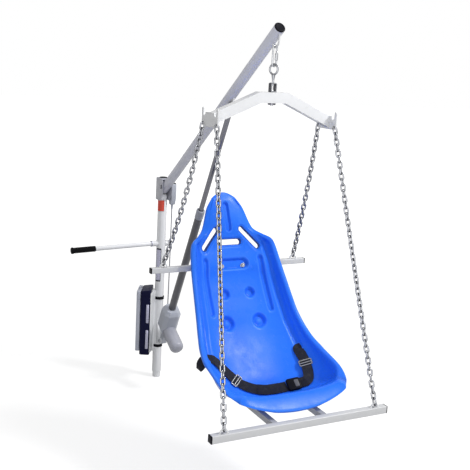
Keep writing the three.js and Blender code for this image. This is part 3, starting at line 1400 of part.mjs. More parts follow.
// Both halves of the lap belt run from their slots over the seat to the buckle
function buildBelt(group) {
  const rise = beltLift + beltThickness / 2;
  const halves = [['belt_left', -1, leftBeltShares], ['belt_right', 1, rightBeltShares]];
  for (const [name, side, shares] of halves) {
    const faces = shares.map(([across, share]) => seatNormal(share, across).lerp(Z, beltLevelShare));
    const centres = shares.map(([across, share]) => seatPoint(share, across)
      .addScaledVector(seatNormal(share, across), rise));
    const slot = seatPoint(beltSlotShares.along, side * beltSlotShares.across);
    const face = Y.clone().negate().applyAxisAngle(X, radians(beltSlotLean));
    const outside = slot.clone().add(point(side * beltTail / 2, 0, 0));
    const tail = outside.clone().add(point(side * beltTail * 0.4, 0, -beltTail * 0.35));
    add(group, name, strap(
      [tail, outside, slot, ...centres], [Z, face, face, ...faces], beltWidth, beltThickness,
    ), 'webbing');
  }
  const up = seatNormal(buckleShares.along, buckleShares.across).lerp(Z, 2 * beltLevelShare).normalize();
  const along = X.clone().addScaledVector(up, -X.dot(up)).normalize();
  const middle = seatPoint(buckleShares.along, buckleShares.across)
    .addScaledVector(up, beltLift + buckleHeight * 1.1);
  const body = plate(roundedOutline(buckleLength, buckleWidth, buckleCorner), buckleHeight);
  const turn = new THREE.Matrix4().makeBasis(along, up.clone().cross(along), up).setPosition(middle);
  add(group, 'belt_buckle', body.applyMatrix4(turn), 'black');
}

const mastGroup = new THREE.Group();
lift.add(mastGroup);
buildFoot(lift);
buildMast(mastGroup);
buildHandle(mastGroup);
buildPower(mastGroup);
buildHandset(mastGroup);
buildBracket(mastGroup);
buildActuator(mastGroup);
buildBoom(mastGroup);
const carrier = new THREE.Group();
lift.add(carrier);
buildHanger(carrier);
buildBow(carrier);
buildChains(carrier);
crossBar(
  carrier, 'back_bar', backBarReach, backBarHeight, backBarHalfLength, backBarTube, backLugHalfSpacing,
);
crossBar(
  carrier, 'front_bar', frontBarReach, frontBarHeight, frontBarHalfLength, frontBarTube,
  frontLugHalfSpacing,
);
buildRails(carrier);
buildSeat(carrier);
buildSeatBolts(carrier);
buildBelt(carrier);

export default lift;
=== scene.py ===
"""Finished surfaces of a pool patient lift, built over its frame. Metres, +Z up."""

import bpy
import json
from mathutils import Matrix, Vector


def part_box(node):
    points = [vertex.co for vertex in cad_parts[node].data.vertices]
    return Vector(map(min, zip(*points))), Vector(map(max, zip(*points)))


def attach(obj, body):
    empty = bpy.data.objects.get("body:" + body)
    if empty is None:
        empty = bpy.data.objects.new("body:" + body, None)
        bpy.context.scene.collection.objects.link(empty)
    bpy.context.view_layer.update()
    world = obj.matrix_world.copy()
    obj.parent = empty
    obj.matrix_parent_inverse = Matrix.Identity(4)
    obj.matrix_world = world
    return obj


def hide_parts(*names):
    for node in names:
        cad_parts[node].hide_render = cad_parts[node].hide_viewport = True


bl_info = {
    "name": "Pool patient lift",
    "version": (1, 0, 0),
    "blender": (4, 5, 0),
    "location": "3D View > Sidebar > Pool Lift",
    "description": "Builds the paint, plastic, chain and webbing of a pool patient lift",
    "category": "Add Mesh",
}

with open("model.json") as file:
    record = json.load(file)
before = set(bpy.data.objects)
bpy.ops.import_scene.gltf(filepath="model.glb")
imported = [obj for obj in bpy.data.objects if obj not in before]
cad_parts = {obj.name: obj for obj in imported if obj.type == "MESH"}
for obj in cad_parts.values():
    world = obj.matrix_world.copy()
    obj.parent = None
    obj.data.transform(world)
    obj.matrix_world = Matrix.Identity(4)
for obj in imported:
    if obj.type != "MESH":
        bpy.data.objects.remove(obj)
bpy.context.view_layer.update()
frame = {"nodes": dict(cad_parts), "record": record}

import json
from math import atan2, cos, pi, radians, sin, sqrt, tan

import bmesh
import bpy
import numpy as np
from bpy.props import FloatProperty, FloatVectorProperty, IntProperty, PointerProperty
from mathutils import Matrix, Vector
from mathutils.kdtree import KDTree

X = Vector((1, 0, 0))
Y = Vector((0, 1, 0))
Z = Vector((0, 0, 1))
TINY = 1e-9
MERGE = 1e-5
CORE = 0.0004  # radius at which a turned shape closes in its middle
SINK = 0.0004  # how deep a raised detail starts under the surface that it sits on
GAP = 0.0003  # room between two pieces that meet
FINE_CORNER = 0.0003
SMOOTH_ANGLE = radians(38)
ROUND_SIDES = 72
WIRE_SIDES = 16

BODY_OF = {
    node: body
    for body, nodes in frame["record"]["behaviour"]["bodies"].items()
    for node in nodes
}


def length(name, text, default):
    """A length property in metres."""
    return FloatProperty(name=name, description=text, default=default, unit="LENGTH", precision=5)


def turn(name, text, degrees):
    """An angle property."""
    return FloatProperty(name=name, description=text, default=radians(degrees), unit="ROTATION")


def place(name, text, default):
    """A point property in metres."""
    return FloatVectorProperty(name=name, description=text, default=default, subtype="TRANSLATION",
                               unit="LENGTH", precision=5)


def colour(name, text, default):
    """A colour property."""
    return FloatVectorProperty(name=name, description=text, default=default, subtype="COLOR",
                               min=0, max=1)


class StageSettings(bpy.types.PropertyGroup):
    """Camera, lamps and floor."""
    camera_place: place("Camera", "Place of the camera", (-1.7321, -4.1963, 1.8233))
    camera_azimuth: turn("Azimuth", "Turn of the camera round the vertical", -27.7)
    camera_pitch: turn("Pitch", "Angle that the camera looks down by", 11.9)
    camera_roll: turn("Roll", "Roll of the camera", 3.2)
    camera_lens: FloatProperty(name="Lens", description="Focal length", default=62.53,
                               unit="CAMERA")
    ambient: FloatProperty(name="Ambient", description="Light of the world", default=0.36)
    key_power: FloatProperty(name="Key", description="Power of the key lamp", default=215)
    fill_power: FloatProperty(name="Fill", description="Power of the fill lamp", default=92)
    top_power: FloatProperty(name="Top", description="Power of the top lamp", default=34)
    floor_colour: colour("Floor", "Colour of the floor", (0.4, 0.4, 0.4))
    floor_glow: FloatProperty(name="Floor glow", description="Light that the camera sees on the floor",
                              default=0.70)
    floor_near: length("Shadow reach", "Distance up to which the floor shows its shadow", 1.6)
    floor_far: length("White reach", "Distance from which the floor is white", 4.5)


class FinishSettings(bpy.types.PropertyGroup):
    """Colours of the finishes."""
    white: colour("White coat", "Powder coat of the frame", (0.87, 0.88, 0.90))
    lilac: colour("Lilac coat", "Powder coat of the boom and head", (0.50, 0.51, 0.58))
    blue: colour("Seat blue", "Moulded plastic of the seat", (0.026, 0.185, 0.97))
    navy: colour("Housing", "Plastic of the control box", (0.003, 0.004, 0.026))
    pale: colour("Pale plastic", "Plastic of the battery and handset", (0.40, 0.42, 0.48))
    black: colour("Black plastic", "Plastic of caps and straps", (0.006, 0.006, 0.010))
    rubber: colour("Rubber", "Rubber of the grip", (0.006, 0.006, 0.007))
    charcoal: colour("Charcoal", "Coat of the drive's tube", (0.095, 0.095, 0.108))
    grey: colour("Grey coat", "Coat of the gearbox", (0.36, 0.38, 0.43))
    motor: colour("Motor coat", "Coat of the motor", (0.43, 0.44, 0.50))
    zinc: colour("Zinc", "Plating of fittings", (0.50, 0.51, 0.53))
    chain: colour("Chain", "Plating of the chains", (0.46, 0.47, 0.50))
    steel: colour("Dark steel", "Polished rod and pins", (0.19, 0.19, 0.215))
    webbing: colour("Webbing", "Woven belt", (0.010, 0.011, 0.018))
    orange: colour("Patch", "Plain patch on the mast", (0.74, 0.065, 0.03))
    red: colour("Stop red", "Stop button", (0.55, 0.02, 0.015))
    sheath: colour("Sheath", "Sheath of the cable", (0.22, 0.22, 0.25))


class MastSettings(bpy.types.PropertyGroup):
    """Mast tube, foot and plates on it."""
    diameter: length("Diameter", "Outer diameter of the mast", 0.0508)
    wall: length("Wall", "Wall of the mast", 0.003)
    bottom: length("Bottom", "Height of the tube's lower end", 0.034)
    top: length("Top", "Height of the tube's upper end", 1.078)
    foot: length("Foot", "Diameter of the foot plug", 0.043)
    spigot: length("Spigot", "Length of the plug inside the mast", 0.09)
    handle_height: length("Handle", "Height of the cross tube", 0.799)
    socket: length("Cross tube", "Diameter of the cross tube", 0.03175)
    cross_bore: length("Cross bore", "Radius of the cross tube's bore", 0.0133)
    socket_left: length("Left reach", "Reach of the cross tube to the left", 0.062)
    socket_right: length("Right reach", "Reach of the cross tube to the right", 0.052)
    bead: length("Weld", "Radius of the weld beads", 0.0024)


class HandleSettings(bpy.types.PropertyGroup):
    """Push handle and its grip."""
    diameter: length("Diameter", "Diameter of the handle tube", 0.0254)
    end: length("End", "Reach of the grip's end", 0.520)
    droop: turn("Droop", "Slope of the handle", 2)
    grip: length("Grip", "Length of the grip", 0.135)
    grip_diameter: length("Grip diameter", "Outer diameter of the grip", 0.032)
    grip_ribs: IntProperty(name="Ribs", description="Ribs of the grip", default=16)


class PowerSettings(bpy.types.PropertyGroup):
    """Control box and battery."""
    turn: turn("Turn", "Turn of the unit round the mast", 152.5)
    start: length("Start", "Distance from the mast's middle to the box", 0.0397)
    thickness: length("Thickness", "Thickness of the control box", 0.058)
    width: length("Width", "Width of the control box", 0.140)
    bottom: length("Bottom", "Height of the box's underside", 0.150)
    top: length("Top", "Height of the box's top", 0.537)
    corner: length("Corner", "Corner radius of the box", 0.014)
    button_below: length("Stop button", "Distance of the stop button below the top", 0.070)
    battery_thickness: length("Battery", "Thickness of the battery", 0.024)
    battery_bottom: length("Battery bottom", "Height of the battery's underside", 0.172)
    battery_top: length("Battery top", "Height of the battery's top", 0.52926)


class DriveSettings(bpy.types.PropertyGroup):
    """Actuator between the mast and the boom."""
    base: place("Base", "Lower pin", (0, -0.080, 0.245))
    end: place("End", "Upper pin", (0, -0.7932, 1.632))
    tube_start: length("Tube start", "Start of the outer tube", 0.256)
    tube_length: length("Tube length", "Length of the outer tube and collar", 0.690)
    tube_diameter: length("Tube diameter", "Diameter of the outer tube", 0.040)
    collar_length: length("Collar", "Length of the collar", 0.054)
    collar_diameter: length("Collar diameter", "Diameter of the collar", 0.044)
    rod_diameter: length("Rod", "Diameter of the rod", 0.0254)
    gear_half: length("Gearbox", "Half width of the gearbox", 0.0478)
    gear_cut: length("Gearbox corner", "Cut corner of the gearbox", 0.020)
    motor_height: length("Motor height", "Height of the motor on the drive", 0.118)
    motor_diameter: length("Motor", "Diameter of the motor", 0.076)
    motor_reach: length("Motor reach", "Reach of the motor", 0.186)


class BoomSettings(bpy.types.PropertyGroup):
    """Boom and the fittings under its tip."""
    pivot: place("Pivot", "Middle of the pivot bolt", (0, -0.045, 1.1308))
    elevation: turn("Elevation", "Rise of the boom", 36.36)
    length: length("Length", "Length from the mast's middle to the end", 1.478)
    diameter: length("Diameter", "Diameter of the boom", 0.049)
    wall: length("Wall", "Wall of the boom", 0.003)
    hanger_reach: length("Hanger reach", "Reach of the hanging point", 1.163)
    staple_half: length("Staple", "Half width of the staple", 0.029)
    staple_drop: length("Drop", "Drop of the staple", 0.059)
    wire: length("Wire", "Wire of staple, link and ring", 0.008)
    link_height: length("Link height", "Height of the quick link", 0.084)
    link_width: length("Link width", "Width of the quick link", 0.033)
    ring: length("Ring", "Outer diameter of the swivel's ring", 0.043)
    running: length("Running gap", "Gap between parts that move", 0.0006)
    link_turn: turn("Link turn", "How far the quick link is turned", 22)
    ring_spread: length("Ring spread", "Extra width of the swivel's ring", 0.007)
    link_spread: length("Link spread", "Extra length of the quick link", 0.010)
    neck_bottom: length("Neck", "Height of the neck's lower end", 1.752)


class ChainSettings(bpy.types.PropertyGroup):
    """Four chains between the bow and the bars."""
    wire: length("Wire", "Wire of a link", 0.0074)
    width: length("Width", "Outer width of a link", 0.0250)
    pitch: length("Pitch", "Pitch of the chain", 0.0254)
    eye_half: length("Eyes", "Half distance between a plate's eyes", 0.064)
    eye_place: place("Eye", "Middle of the right plate's eyes", (0.284, -1.163, 1.575))
    back_lug: place("Back lug", "Right lug of the back bar", (0.342, -0.868, 0.9153))
    front_lug: place("Front lug", "Right lug of the front bar", (0.361, -1.583, 0.428275))
    back_links: IntProperty(name="Back links", description="Links of a rear chain", default=28)
    front_links: IntProperty(name="Front links", description="Links of a front chain", default=48)
    back_sag: length("Back sag", "Sag of a rear chain", 0.018)
    front_sag: length("Front sag", "Sag of a front chain", 0.003)
    twist: turn("Twist", "Twist from link to link", 1.6)
    front_start: turn("Start", "Turn of a front chain's first link", 38)


class BarSettings(bpy.types.PropertyGroup):
    """Cross bars that carry the seat."""
    back_place: place("Back bar", "Middle of the back bar", (0, -0.868, 0.8856))
    back_half: length("Back half", "Half length of the back bar", 0.401)
    back_tube: length("Back tube", "Side of the back bar", 0.0254)
    back_lugs: length("Back lugs", "Half distance between its lugs", 0.342)
    front_place: place("Front bar", "Middle of the front bar", (0, -1.583, 0.3954))
    front_half: length("Front half", "Half length of the front bar", 0.416)
    front_tube: length("Front tube", "Side of the front bar", 0.03175)
    front_lugs: length("Front lugs", "Half distance between its lugs", 0.361)
    corner: length("Corner", "Corner radius of the tubes", 0.0032)
    lug_radius: length("Lug", "Radius of a lug", 0.017)
    lug_wire: length("Lug wire", "Wire of a lug", 0.007)


class SeatSettings(bpy.types.PropertyGroup):
    """Bucket seat."""
    half_width: length("Half width", "Half width of the seat", 0.310)
    top_reach: length("Top reach", "Reach of the head", 0.745)
    top_height: length("Top height", "Height of the head", 1.217)
    front_reach: length("Front reach", "Reach of the front edge", 1.550)
    front_height: length("Front height", "Height of the front edge", 0.437)
    thickness: length("Thickness", "Thickness of the shell", 0.005)
    lip_width: length("Lip width", "Width of the rolled lip", 0.028)
    lip_rise: length("Lip rise", "Rise of the rolled lip", 0.012)
    lip_skirt: length("Skirt", "Depth of the lip's outer skirt", 0.008)
    front_lip_width: length("Front lip", "Width of the front lip", 0.078)
    front_lip_rise: length("Front rise", "Rise of the front lip", 0.046)
    rows: IntProperty(name="Rows", description="Rows of the shell's mesh", default=260)
    columns: IntProperty(name="Columns", description="Columns of the shell's mesh", default=150)
    slot_width: length("Slots", "Width of the back slots", 0.029)
    crest_soft: length("Crest", "Reach of the crest's rounding", 0.022)


class BeltSettings(bpy.types.PropertyGroup):
    """Lap belt."""
    width: length("Width", "Width of the webbing", 0.048)
    thickness: length("Thickness", "Thickness of the webbing", 0.0026)
    lift: length("Lift", "Height of the webbing over the seat", 0.0050)
    tail: length("Tail", "Length outside the seat", 0.070)
    buckle: place("Buckle", "Length, width and height of the buckle", (0.064, 0.056, 0.016))


def frame_of(origin, along, across=X):
    """A matrix whose Z runs along, whose X lies near across."""
    z = Vector(along).normalized()
    y = z.cross(across).normalized()
    x = y.cross(z)
    return Matrix.Translation(origin) @ Matrix((x, y, z)).transposed().to_4x4()


def moved(shape, matrix):
    """A shape with its points moved by a matrix."""
    points, faces = shape
    return [matrix @ Vector(p) for p in points], faces


def circle(radius, sides=ROUND_SIDES):
    """A round section."""
    return [(radius * cos(2 * pi * i / sides), radius * sin(2 * pi * i / sides)) for i in range(sides)]


def arc(cx, cy, radius, start, end, steps):
    """Points of an arc, angles in degrees."""
    angles = [radians(start + (end - start) * i / steps) for i in range(steps + 1)]
    return [(cx + radius * cos(a), cy + radius * sin(a)) for a in angles]


def rounded(points, radius, steps=4, closed=False):
    """A line of points with its corners rounded."""
    out = []
    for i, raw in enumerate(points):
        here = Vector(raw)
        if not closed and i in (0, len(points) - 1):
            out.append(here)
            continue
        back = Vector(points[i - 1]) - here
        ahead = Vector(points[(i + 1) % len(points)]) - here
        reach = min(radius, back.length * 0.49, ahead.length * 0.49)
        start, end = here + back.normalized() * reach, here + ahead.normalized() * reach
        for k in range(steps + 1):
            t = k / steps
            out.append(start * (1 - t) ** 2 + here * (2 * t * (1 - t)) + end * t ** 2)
    return out


def loft(rings, looped=False):
    """Rings of points joined into one closed skin."""
    size, count = len(rings[0]), len(rings)
    points = [p for ring in rings for p in ring]
    faces = []
    for i in range(count if looped else count - 1):
        here, there = i * size, (i + 1) % count * size
        faces += [(here + j, here + (j + 1) % size, there + (j + 1) % size, there + j)
                  for j in range(size)]
    if not looped:
        faces += [tuple(reversed(range(size))), tuple(range((count - 1) * size, count * size))]
    return points, faces


def lathe(profile, matrix=Matrix(), looped=False, sides=ROUND_SIDES, corner=0.0008):
    """A turned shape about the matrix's Z from (radius, height) pairs."""
    line = rounded(profile, corner, 3, looped)
    rings = [[(*p, height) for p in circle(radius, sides)] for radius, height in line]
    return moved(loft(rings, looped), matrix)


def sleeve_section(inner, outer, low, high):
    """The section of a plain round sleeve."""
    return [(inner, low), (outer, low), (outer, high), (inner, high)]


def sweep(points, reference, section, looped=False, swell=None):
    """A section carried along points; the reference stays off the line's direction."""
    points = [Vector(p) for p in points]
    rings = []
    for i, here in enumerate(points):
        before = points[i - 1] if looped or i else here
        after = points[(i + 1) % len(points)] if looped or i < len(points) - 1 else here
        into, out = here - before, after - here
        into = (into if into.length else out).normalized()
        out = (out if out.length else into).normalized()
        along = (into + out).normalized()
        across = reference.cross(along).normalized()
        over = along.cross(across)
        stretch = 1 / max(along.dot(out), 0.5)
        size = swell(i) if swell else 1
        rings.append([here + across * (a * stretch * size) + over * (b * size) for a, b in section])
    return loft(rings, looped)


def bead(points, reference, radius):
    """A rippled weld bead along a closed line."""
    return sweep(points, reference, circle(radius, 8), True,
                 lambda i: 1 + 0.13 * sin(2.1 * i) + 0.05 * sin(0.77 * i))


def block(outline, levels):
    """A prism whose outline shrinks by an inset at each (height, inset) level."""
    middle = Vector((0, 0))
    for p in outline:
        middle += Vector(p) / len(outline)
    size = max((Vector(p) - middle).length for p in outline)
    rings = []
    for height, inset in levels:
        scale = 1 - inset / size
        rings.append([(*(middle + (Vector(p) - middle) * scale), height) for p in outline])
    return loft(rings)


def soft_levels(low, high, radius, steps=4, grooves=(), depth=0.0008, half=0.0009):
    """Levels of a block with rounded ends and narrow grooves round it."""
    ends = [(radius * (1 - cos(pi / 2 * k / steps)), radius * (1 - sin(pi / 2 * k / steps)))
            for k in range(steps + 1)]
    levels = [(low + rise, inset) for rise, inset in ends]
    for g in sorted(grooves):
        levels += [(g - half, 0), (g - half * 0.6, depth), (g + half * 0.6, depth), (g + half, 0)]
    return levels + [(high - rise, inset) for rise, inset in reversed(ends)]


def rectangle(width, depth, radius, steps=5, centre=(0, 0)):
    """A rectangle's outline with round corners."""
    cx, cy = centre
    corners = [(cx + sx * width / 2, cy + sy * depth / 2)
               for sx, sy in ((1, 1), (-1, 1), (-1, -1), (1, -1))]
    return [tuple(p) for p in rounded(corners, radius, steps, True)]


def curve_points(points, steps):
    """Points at even parameters on a centripetal curve through the given points."""
    points = [np.array(p, float) for p in points]
    ends = [2 * points[0] - points[1], *points, 2 * points[-1] - points[-2]]
    out = []
    for n in range(steps + 1):
        at = n / steps * (len(points) - 1)
        i = min(int(at), len(points) - 2)
        t = at - i
        p0, p1, p2, p3 = ends[i:i + 4]
        d0, d1, d2 = (sqrt(np.linalg.norm(b - a)) or 1 for a, b in ((p0, p1), (p1, p2), (p2, p3)))
        m1 = ((p1 - p0) / d0 - (p2 - p0) / (d0 + d1) + (p2 - p1) / d1) * d1
        m2 = ((p2 - p1) / d1 - (p3 - p1) / (d1 + d2) + (p3 - p2) / d2) * d1
        out.append(p1 + m1 * t + (3 * (p2 - p1) - 2 * m1 - m2) * t * t
                   + (2 * (p1 - p2) + m1 + m2) * t ** 3)
    return out


def fill_mesh(mesh, shapes):
    """Puts shapes into a mesh, faces outward and smooth."""
    points, faces = [], []
    for shape_points, shape_faces in shapes:
        first = len(points)
        points += [tuple(p) for p in shape_points]
        faces += [tuple(first + i for i in face) for face in shape_faces]
    mesh.from_pydata(points, [], faces)
    bm = bmesh.new()
    bm.from_mesh(mesh)
    bmesh.ops.recalc_face_normals(bm, faces=bm.faces)
    bm.to_mesh(mesh)
    bm.free()


def smoothed(mesh, angle=SMOOTH_ANGLE):
    """Smooth shading that breaks at sharp edges."""
    mesh.polygons.foreach_set("use_smooth", [True] * len(mesh.polygons))
    mesh.set_sharp_from_angle(angle=angle)


def linked(obj):
    """Puts an object into the scene."""
    bpy.context.scene.collection.objects.link(obj)


def settled(obj, material, nodes, body=None):
    """Gives a new piece its finish, its body and the nodes it stands for."""
    linked(obj)
    obj.data.materials.append(material)
    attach(obj, body or BODY_OF[nodes[0]])
    if nodes:
        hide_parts(*nodes)
    return obj


def piece(name, shapes, material, nodes=(), body=None):
    """One object made of shapes."""
    mesh = bpy.data.meshes.new(name)
    fill_mesh(mesh, shapes)
    smoothed(mesh)
    return settled(bpy.data.objects.new(name, mesh), material, nodes, body)


def dressed(node, material, bevel, least=40, segments=3, extra=()):
    """The frame's own shape of a node with its hard edges rounded."""
    bm = bmesh.new()
    bm.from_mesh(frame["nodes"][node].data)
    bmesh.ops.remove_doubles(bm, verts=bm.verts, dist=MERGE)
    bmesh.ops.dissolve_limit(bm, angle_limit=radians(1), verts=bm.verts, edges=bm.edges)
    edges = [e for e in bm.edges if len(e.link_faces) == 2 and e.calc_face_angle() > radians(least)]
    bmesh.ops.bevel(bm, geom=edges, offset=bevel, segments=segments, profile=0.6, affect="EDGES",
                    clamp_overlap=True)
    mesh = bpy.data.meshes.new(node + "_fine")
    bm.to_mesh(mesh)
    bm.free()
    if extra:
        base = ([v.co.copy() for v in mesh.vertices], [tuple(p.vertices) for p in mesh.polygons])
        mesh.clear_geometry()
        fill_mesh(mesh, [base, *extra])
    smoothed(mesh)
    return settled(bpy.data.objects.new(node + "_fine", mesh), material, [node])


def refined(node, shapes, material):
    """One object made of shapes that stands for a node."""
    return piece(node + "_fine", shapes, material, [node])


def toned(base, share):
    """A colour at a share of its strength."""
    return tuple(c * share for c in base)


class Paint:
    """Builds one node material step by step."""

    def __init__(self, name, base, roughness, metallic=0.0, specular=0.5):
        self.material = bpy.data.materials.new(name)
        self.material.use_nodes = True
        self.nodes = self.material.node_tree.nodes
        self.links = self.material.node_tree.links
        self.shader = self.nodes["Principled BSDF"]
        self.base = (*base, 1)
        self.shader.inputs["Metallic"].default_value = metallic
        self.shader.inputs["Specular IOR Level"].default_value = specular
        self.shader.inputs["Roughness"].default_value = roughness
        self.shader.inputs["Base Color"].default_value = self.base
        self.roughness = roughness
        self.normal = None
        self.colour = None

    def noise(self, scale, detail=3.0, stretch=(1, 1, 1)):
        """Noise in the piece's own metres."""
        coordinates = self.nodes.new("ShaderNodeTexCoord")
        mapping = self.nodes.new("ShaderNodeMapping")
        mapping.inputs["Scale"].default_value = stretch
        texture = self.nodes.new("ShaderNodeTexNoise")
        texture.inputs["Scale"].default_value = scale
        texture.inputs["Detail"].default_value = detail
        self.links.new(coordinates.outputs["Object"], mapping.inputs["Vector"])
        self.links.new(mapping.outputs["Vector"], texture.inputs["Vector"])
        return texture.outputs[0]

    def ramp(self, value, low, high, start=0.35, end=0.65):
        """Maps a value between two numbers."""
        node = self.nodes.new("ShaderNodeMapRange")
        for name, number in (("From Min", start), ("From Max", end), ("To Min", low), ("To Max", high)):
            node.inputs[name].default_value = number
        self.links.new(value, node.inputs["Value"])
        return node.outputs["Result"]

    def tint(self, factor, towards):
        """Mixes the colour towards another by a factor."""
        node = self.nodes.new("ShaderNodeMix")
        node.data_type = "RGBA"
        node.inputs["A"].default_value = self.base
        node.inputs["B"].default_value = (*towards, 1)
        self.links.new(factor, node.inputs["Factor"])
        if self.colour:
            self.links.new(self.colour, node.inputs["A"])
        self.colour = node.outputs["Result"]
        self.links.new(self.colour, self.shader.inputs["Base Color"])
        return self

    def facing(self, towards, start=0.25, end=0.85):
        """Painted shade: another colour where the surface turns away from view."""
        weight = self.nodes.new("ShaderNodeLayerWeight")
        weight.inputs["Blend"].default_value = 0.5
        return self.tint(self.ramp(weight.outputs["Facing"], 0, 0.9, start, end), towards)

    def mottle(self, scale, amount, stretch=(1, 1, 1)):
        """Lighter and darker patches."""
        darker = toned(self.base[:3], 1 - amount)
        return self.tint(self.ramp(self.noise(scale, 4, stretch), 0, 1, 0.3, 0.7), darker)

    def polish(self, scale, spread, stretch=(1, 1, 1)):
        """Roughness that wanders."""
        value = self.ramp(self.noise(scale, 3, stretch), max(self.roughness - spread, 0.03),
                          self.roughness + spread)
        self.links.new(value, self.shader.inputs["Roughness"])
        return self

    def bump(self, height, distance, strength=1.0):
        """Small relief, added to what is there."""
        node = self.nodes.new("ShaderNodeBump")
        node.inputs["Distance"].default_value = distance
        node.inputs["Strength"].default_value = strength
        self.links.new(height, node.inputs["Height"])
        if self.normal:
            self.links.new(self.normal, node.inputs["Normal"])
        self.normal = node.outputs["Normal"]
        self.links.new(self.normal, self.shader.inputs["Normal"])
        return self

    def edges(self, towards, start=0.515, end=0.56):
        """Another colour along sharp edges: darker edges are painted shade, lighter edges painted
        highlight.
        """
        geometry = self.nodes.new("ShaderNodeNewGeometry")
        return self.tint(self.ramp(geometry.outputs["Pointiness"], 0, 0.6, start, end), towards)

    def crevices(self, towards, start=0.455, end=0.495):
        """Painted shade: a deeper colour where the surface folds inwards."""
        geometry = self.nodes.new("ShaderNodeNewGeometry")
        return self.tint(self.ramp(geometry.outputs["Pointiness"], 0.4, 0, start, end), towards)

    def scuffs(self, towards, scale, depth, strength):
        """Long fine scratches in the colour and the relief."""
        streak = self.noise(scale, 6, (1, 0.12, 1))
        self.tint(self.ramp(streak, 0, strength, 0.62, 0.72), towards)
        return self.bump(streak, depth)


def finish_of(name):
    """The colour of a finish from the settings."""
    return tuple(getattr(bpy.context.scene.lift_finish, name))


MATERIALS = {}


def shared(make):
    """Keeps one copy of each material, under the function's name."""
    name = make.__name__

    def get():
        if name not in MATERIALS:
            MATERIALS[name] = make(name).material
        return MATERIALS[name]
    return get


def powder(name, base, roughness=0.38):
    """Powder coat with orange peel and faint grime, with painted shade along sharp edges and where the
    surface turns away.
    """
    paint = Paint(name, base, roughness, 0.0, 0.5).mottle(5, 0.05).polish(30, 0.07)
    paint.tint(paint.ramp(paint.noise(42, 8), 0, 0.35, 0.60, 0.78), toned(base, 0.72))
    # Painted shade: sharp edges drawn darker as outlines.
    paint.edges(toned(base, 0.55), 0.515, 0.59)
    # Painted shade: darker where the surface turns away from view.
    paint.facing(toned(base, 0.46), 0.42, 0.95)
    paint.bump(paint.noise(520, 2), 0.00016)
    paint.shader.inputs["Coat Weight"].default_value = 0.12
    paint.shader.inputs["Coat Roughness"].default_value = 0.2
    return paint


def moulded(name, base, roughness, grain=1600, relief=0.00008, specular=0.35):
    """Moulded plastic with a fine grain and lighter sharp edges as painted highlight."""
    lighter = tuple(min(c * 1.4 + 0.006, 1) for c in base)
    paint = Paint(name, base, roughness, 0.0, specular).mottle(9, 0.08).polish(60, 0.06)
    # Painted highlight: sharp edges lighter.
    paint.edges(lighter, 0.515, 0.57)
    return paint.bump(paint.noise(grain, 2), relief)


def plated(name, base, roughness, stretch=(1, 1, 1)):
    """Plated or polished metal with spangle and fine lines, darker where it turns away as painted
    shade.
    """
    paint = Paint(name, base, roughness, 1.0)
    paint.mottle(260, 0.3, stretch).polish(150, 0.09, stretch)
    paint.tint(paint.ramp(paint.noise(30, 6), 0, 0.5, 0.58, 0.75), toned(base, 0.55))
    # Painted shade: darker where the metal turns away from view, in place of dark reflections.
    paint.facing(toned(base, 0.2))
    return paint.bump(paint.noise(900, 3, stretch), 0.00005)


@shared
def white_coat(name):
    """White powder coat of the frame."""
    return powder(name, finish_of("white"))


@shared
def rail_coat(name):
    """The frame's white coat darkened on the rails under the seat as painted shade."""
    return powder(name, toned(finish_of("white"), 0.56), 0.45)


@shared
def boom_coat(name):
    """The lilac coat of the boom and head, lightened on the boom as painted light."""
    return powder(name, toned(finish_of("lilac"), 1.55), 0.4)


@shared
def lilac_coat(name):
    """Grey-lilac powder coat."""
    return powder(name, finish_of("lilac"), 0.42)


@shared
def charcoal_coat(name):
    """Dark coat of the drive's tube."""
    return powder(name, finish_of("charcoal"), 0.36)


@shared
def grey_coat(name):
    """Cast housing under grey coat, with lighter facet edges as painted highlight."""
    paint = powder(name, finish_of("grey"), 0.45)
    # Painted highlight: facet edges lighter.
    paint.edges(toned(finish_of("grey"), 1.5), 0.503, 0.52)
    return paint.bump(paint.noise(160, 3), 0.0002)


@shared
def motor_coat(name):
    """Lighter coat of the motor."""
    return powder(name, finish_of("motor"), 0.4)


@shared
def seat_plastic(name):
    """Semi-gloss moulded seat with light scuffs, painted shade in its creases and painted highlight on
    its sharp edges.
    """
    base = finish_of("blue")
    paint = Paint(name, base, 0.28, 0.0, 0.09).mottle(4, 0.10).polish(24, 0.05)
    # Painted shade: deeper blue in creases and dimples.
    paint.crevices((0.012, 0.095, 0.70))
    paint.scuffs((0.10, 0.26, 0.98), 70, 0.00004, 0.28)
    # Painted highlight: lighter blue along sharp edges.
    paint.edges((0.06, 0.24, 1.0), 0.505, 0.53)
    paint.bump(paint.noise(900, 2), 0.00006)
    paint.bump(paint.noise(26, 2), 0.0005, 0.5)
    return paint


@shared
def slot_plastic(name):
    """The seat's blue darkened inside the back slots as painted shade."""
    return moulded(name, toned(finish_of("blue"), 0.34), 0.5, specular=0.08)


@shared
def navy_plastic(name):
    """Housing of the control box."""
    return moulded(name, finish_of("navy"), 0.42, specular=0.06)


@shared
def pale_plastic(name):
    """Light grey plastic."""
    return moulded(name, finish_of("pale"), 0.45)


@shared
def black_plastic(name):
    """Black plastic of caps."""
    return moulded(name, finish_of("black"), 0.4, specular=0.05)


@shared
def grip_rubber(name):
    """Rubber of the grip."""
    return moulded(name, finish_of("rubber"), 0.68, 900, 0.00015, 0.05)


@shared
def stop_plastic(name):
    """Red plastic of the stop button."""
    return moulded(name, finish_of("red"), 0.3)


@shared
def cable_sheath(name):
    """Grey cable sheath."""
    return moulded(name, finish_of("sheath"), 0.5)


@shared
def zinc_plating(name):
    """Bright zinc of chains and fittings."""
    return plated(name, finish_of("zinc"), 0.27)


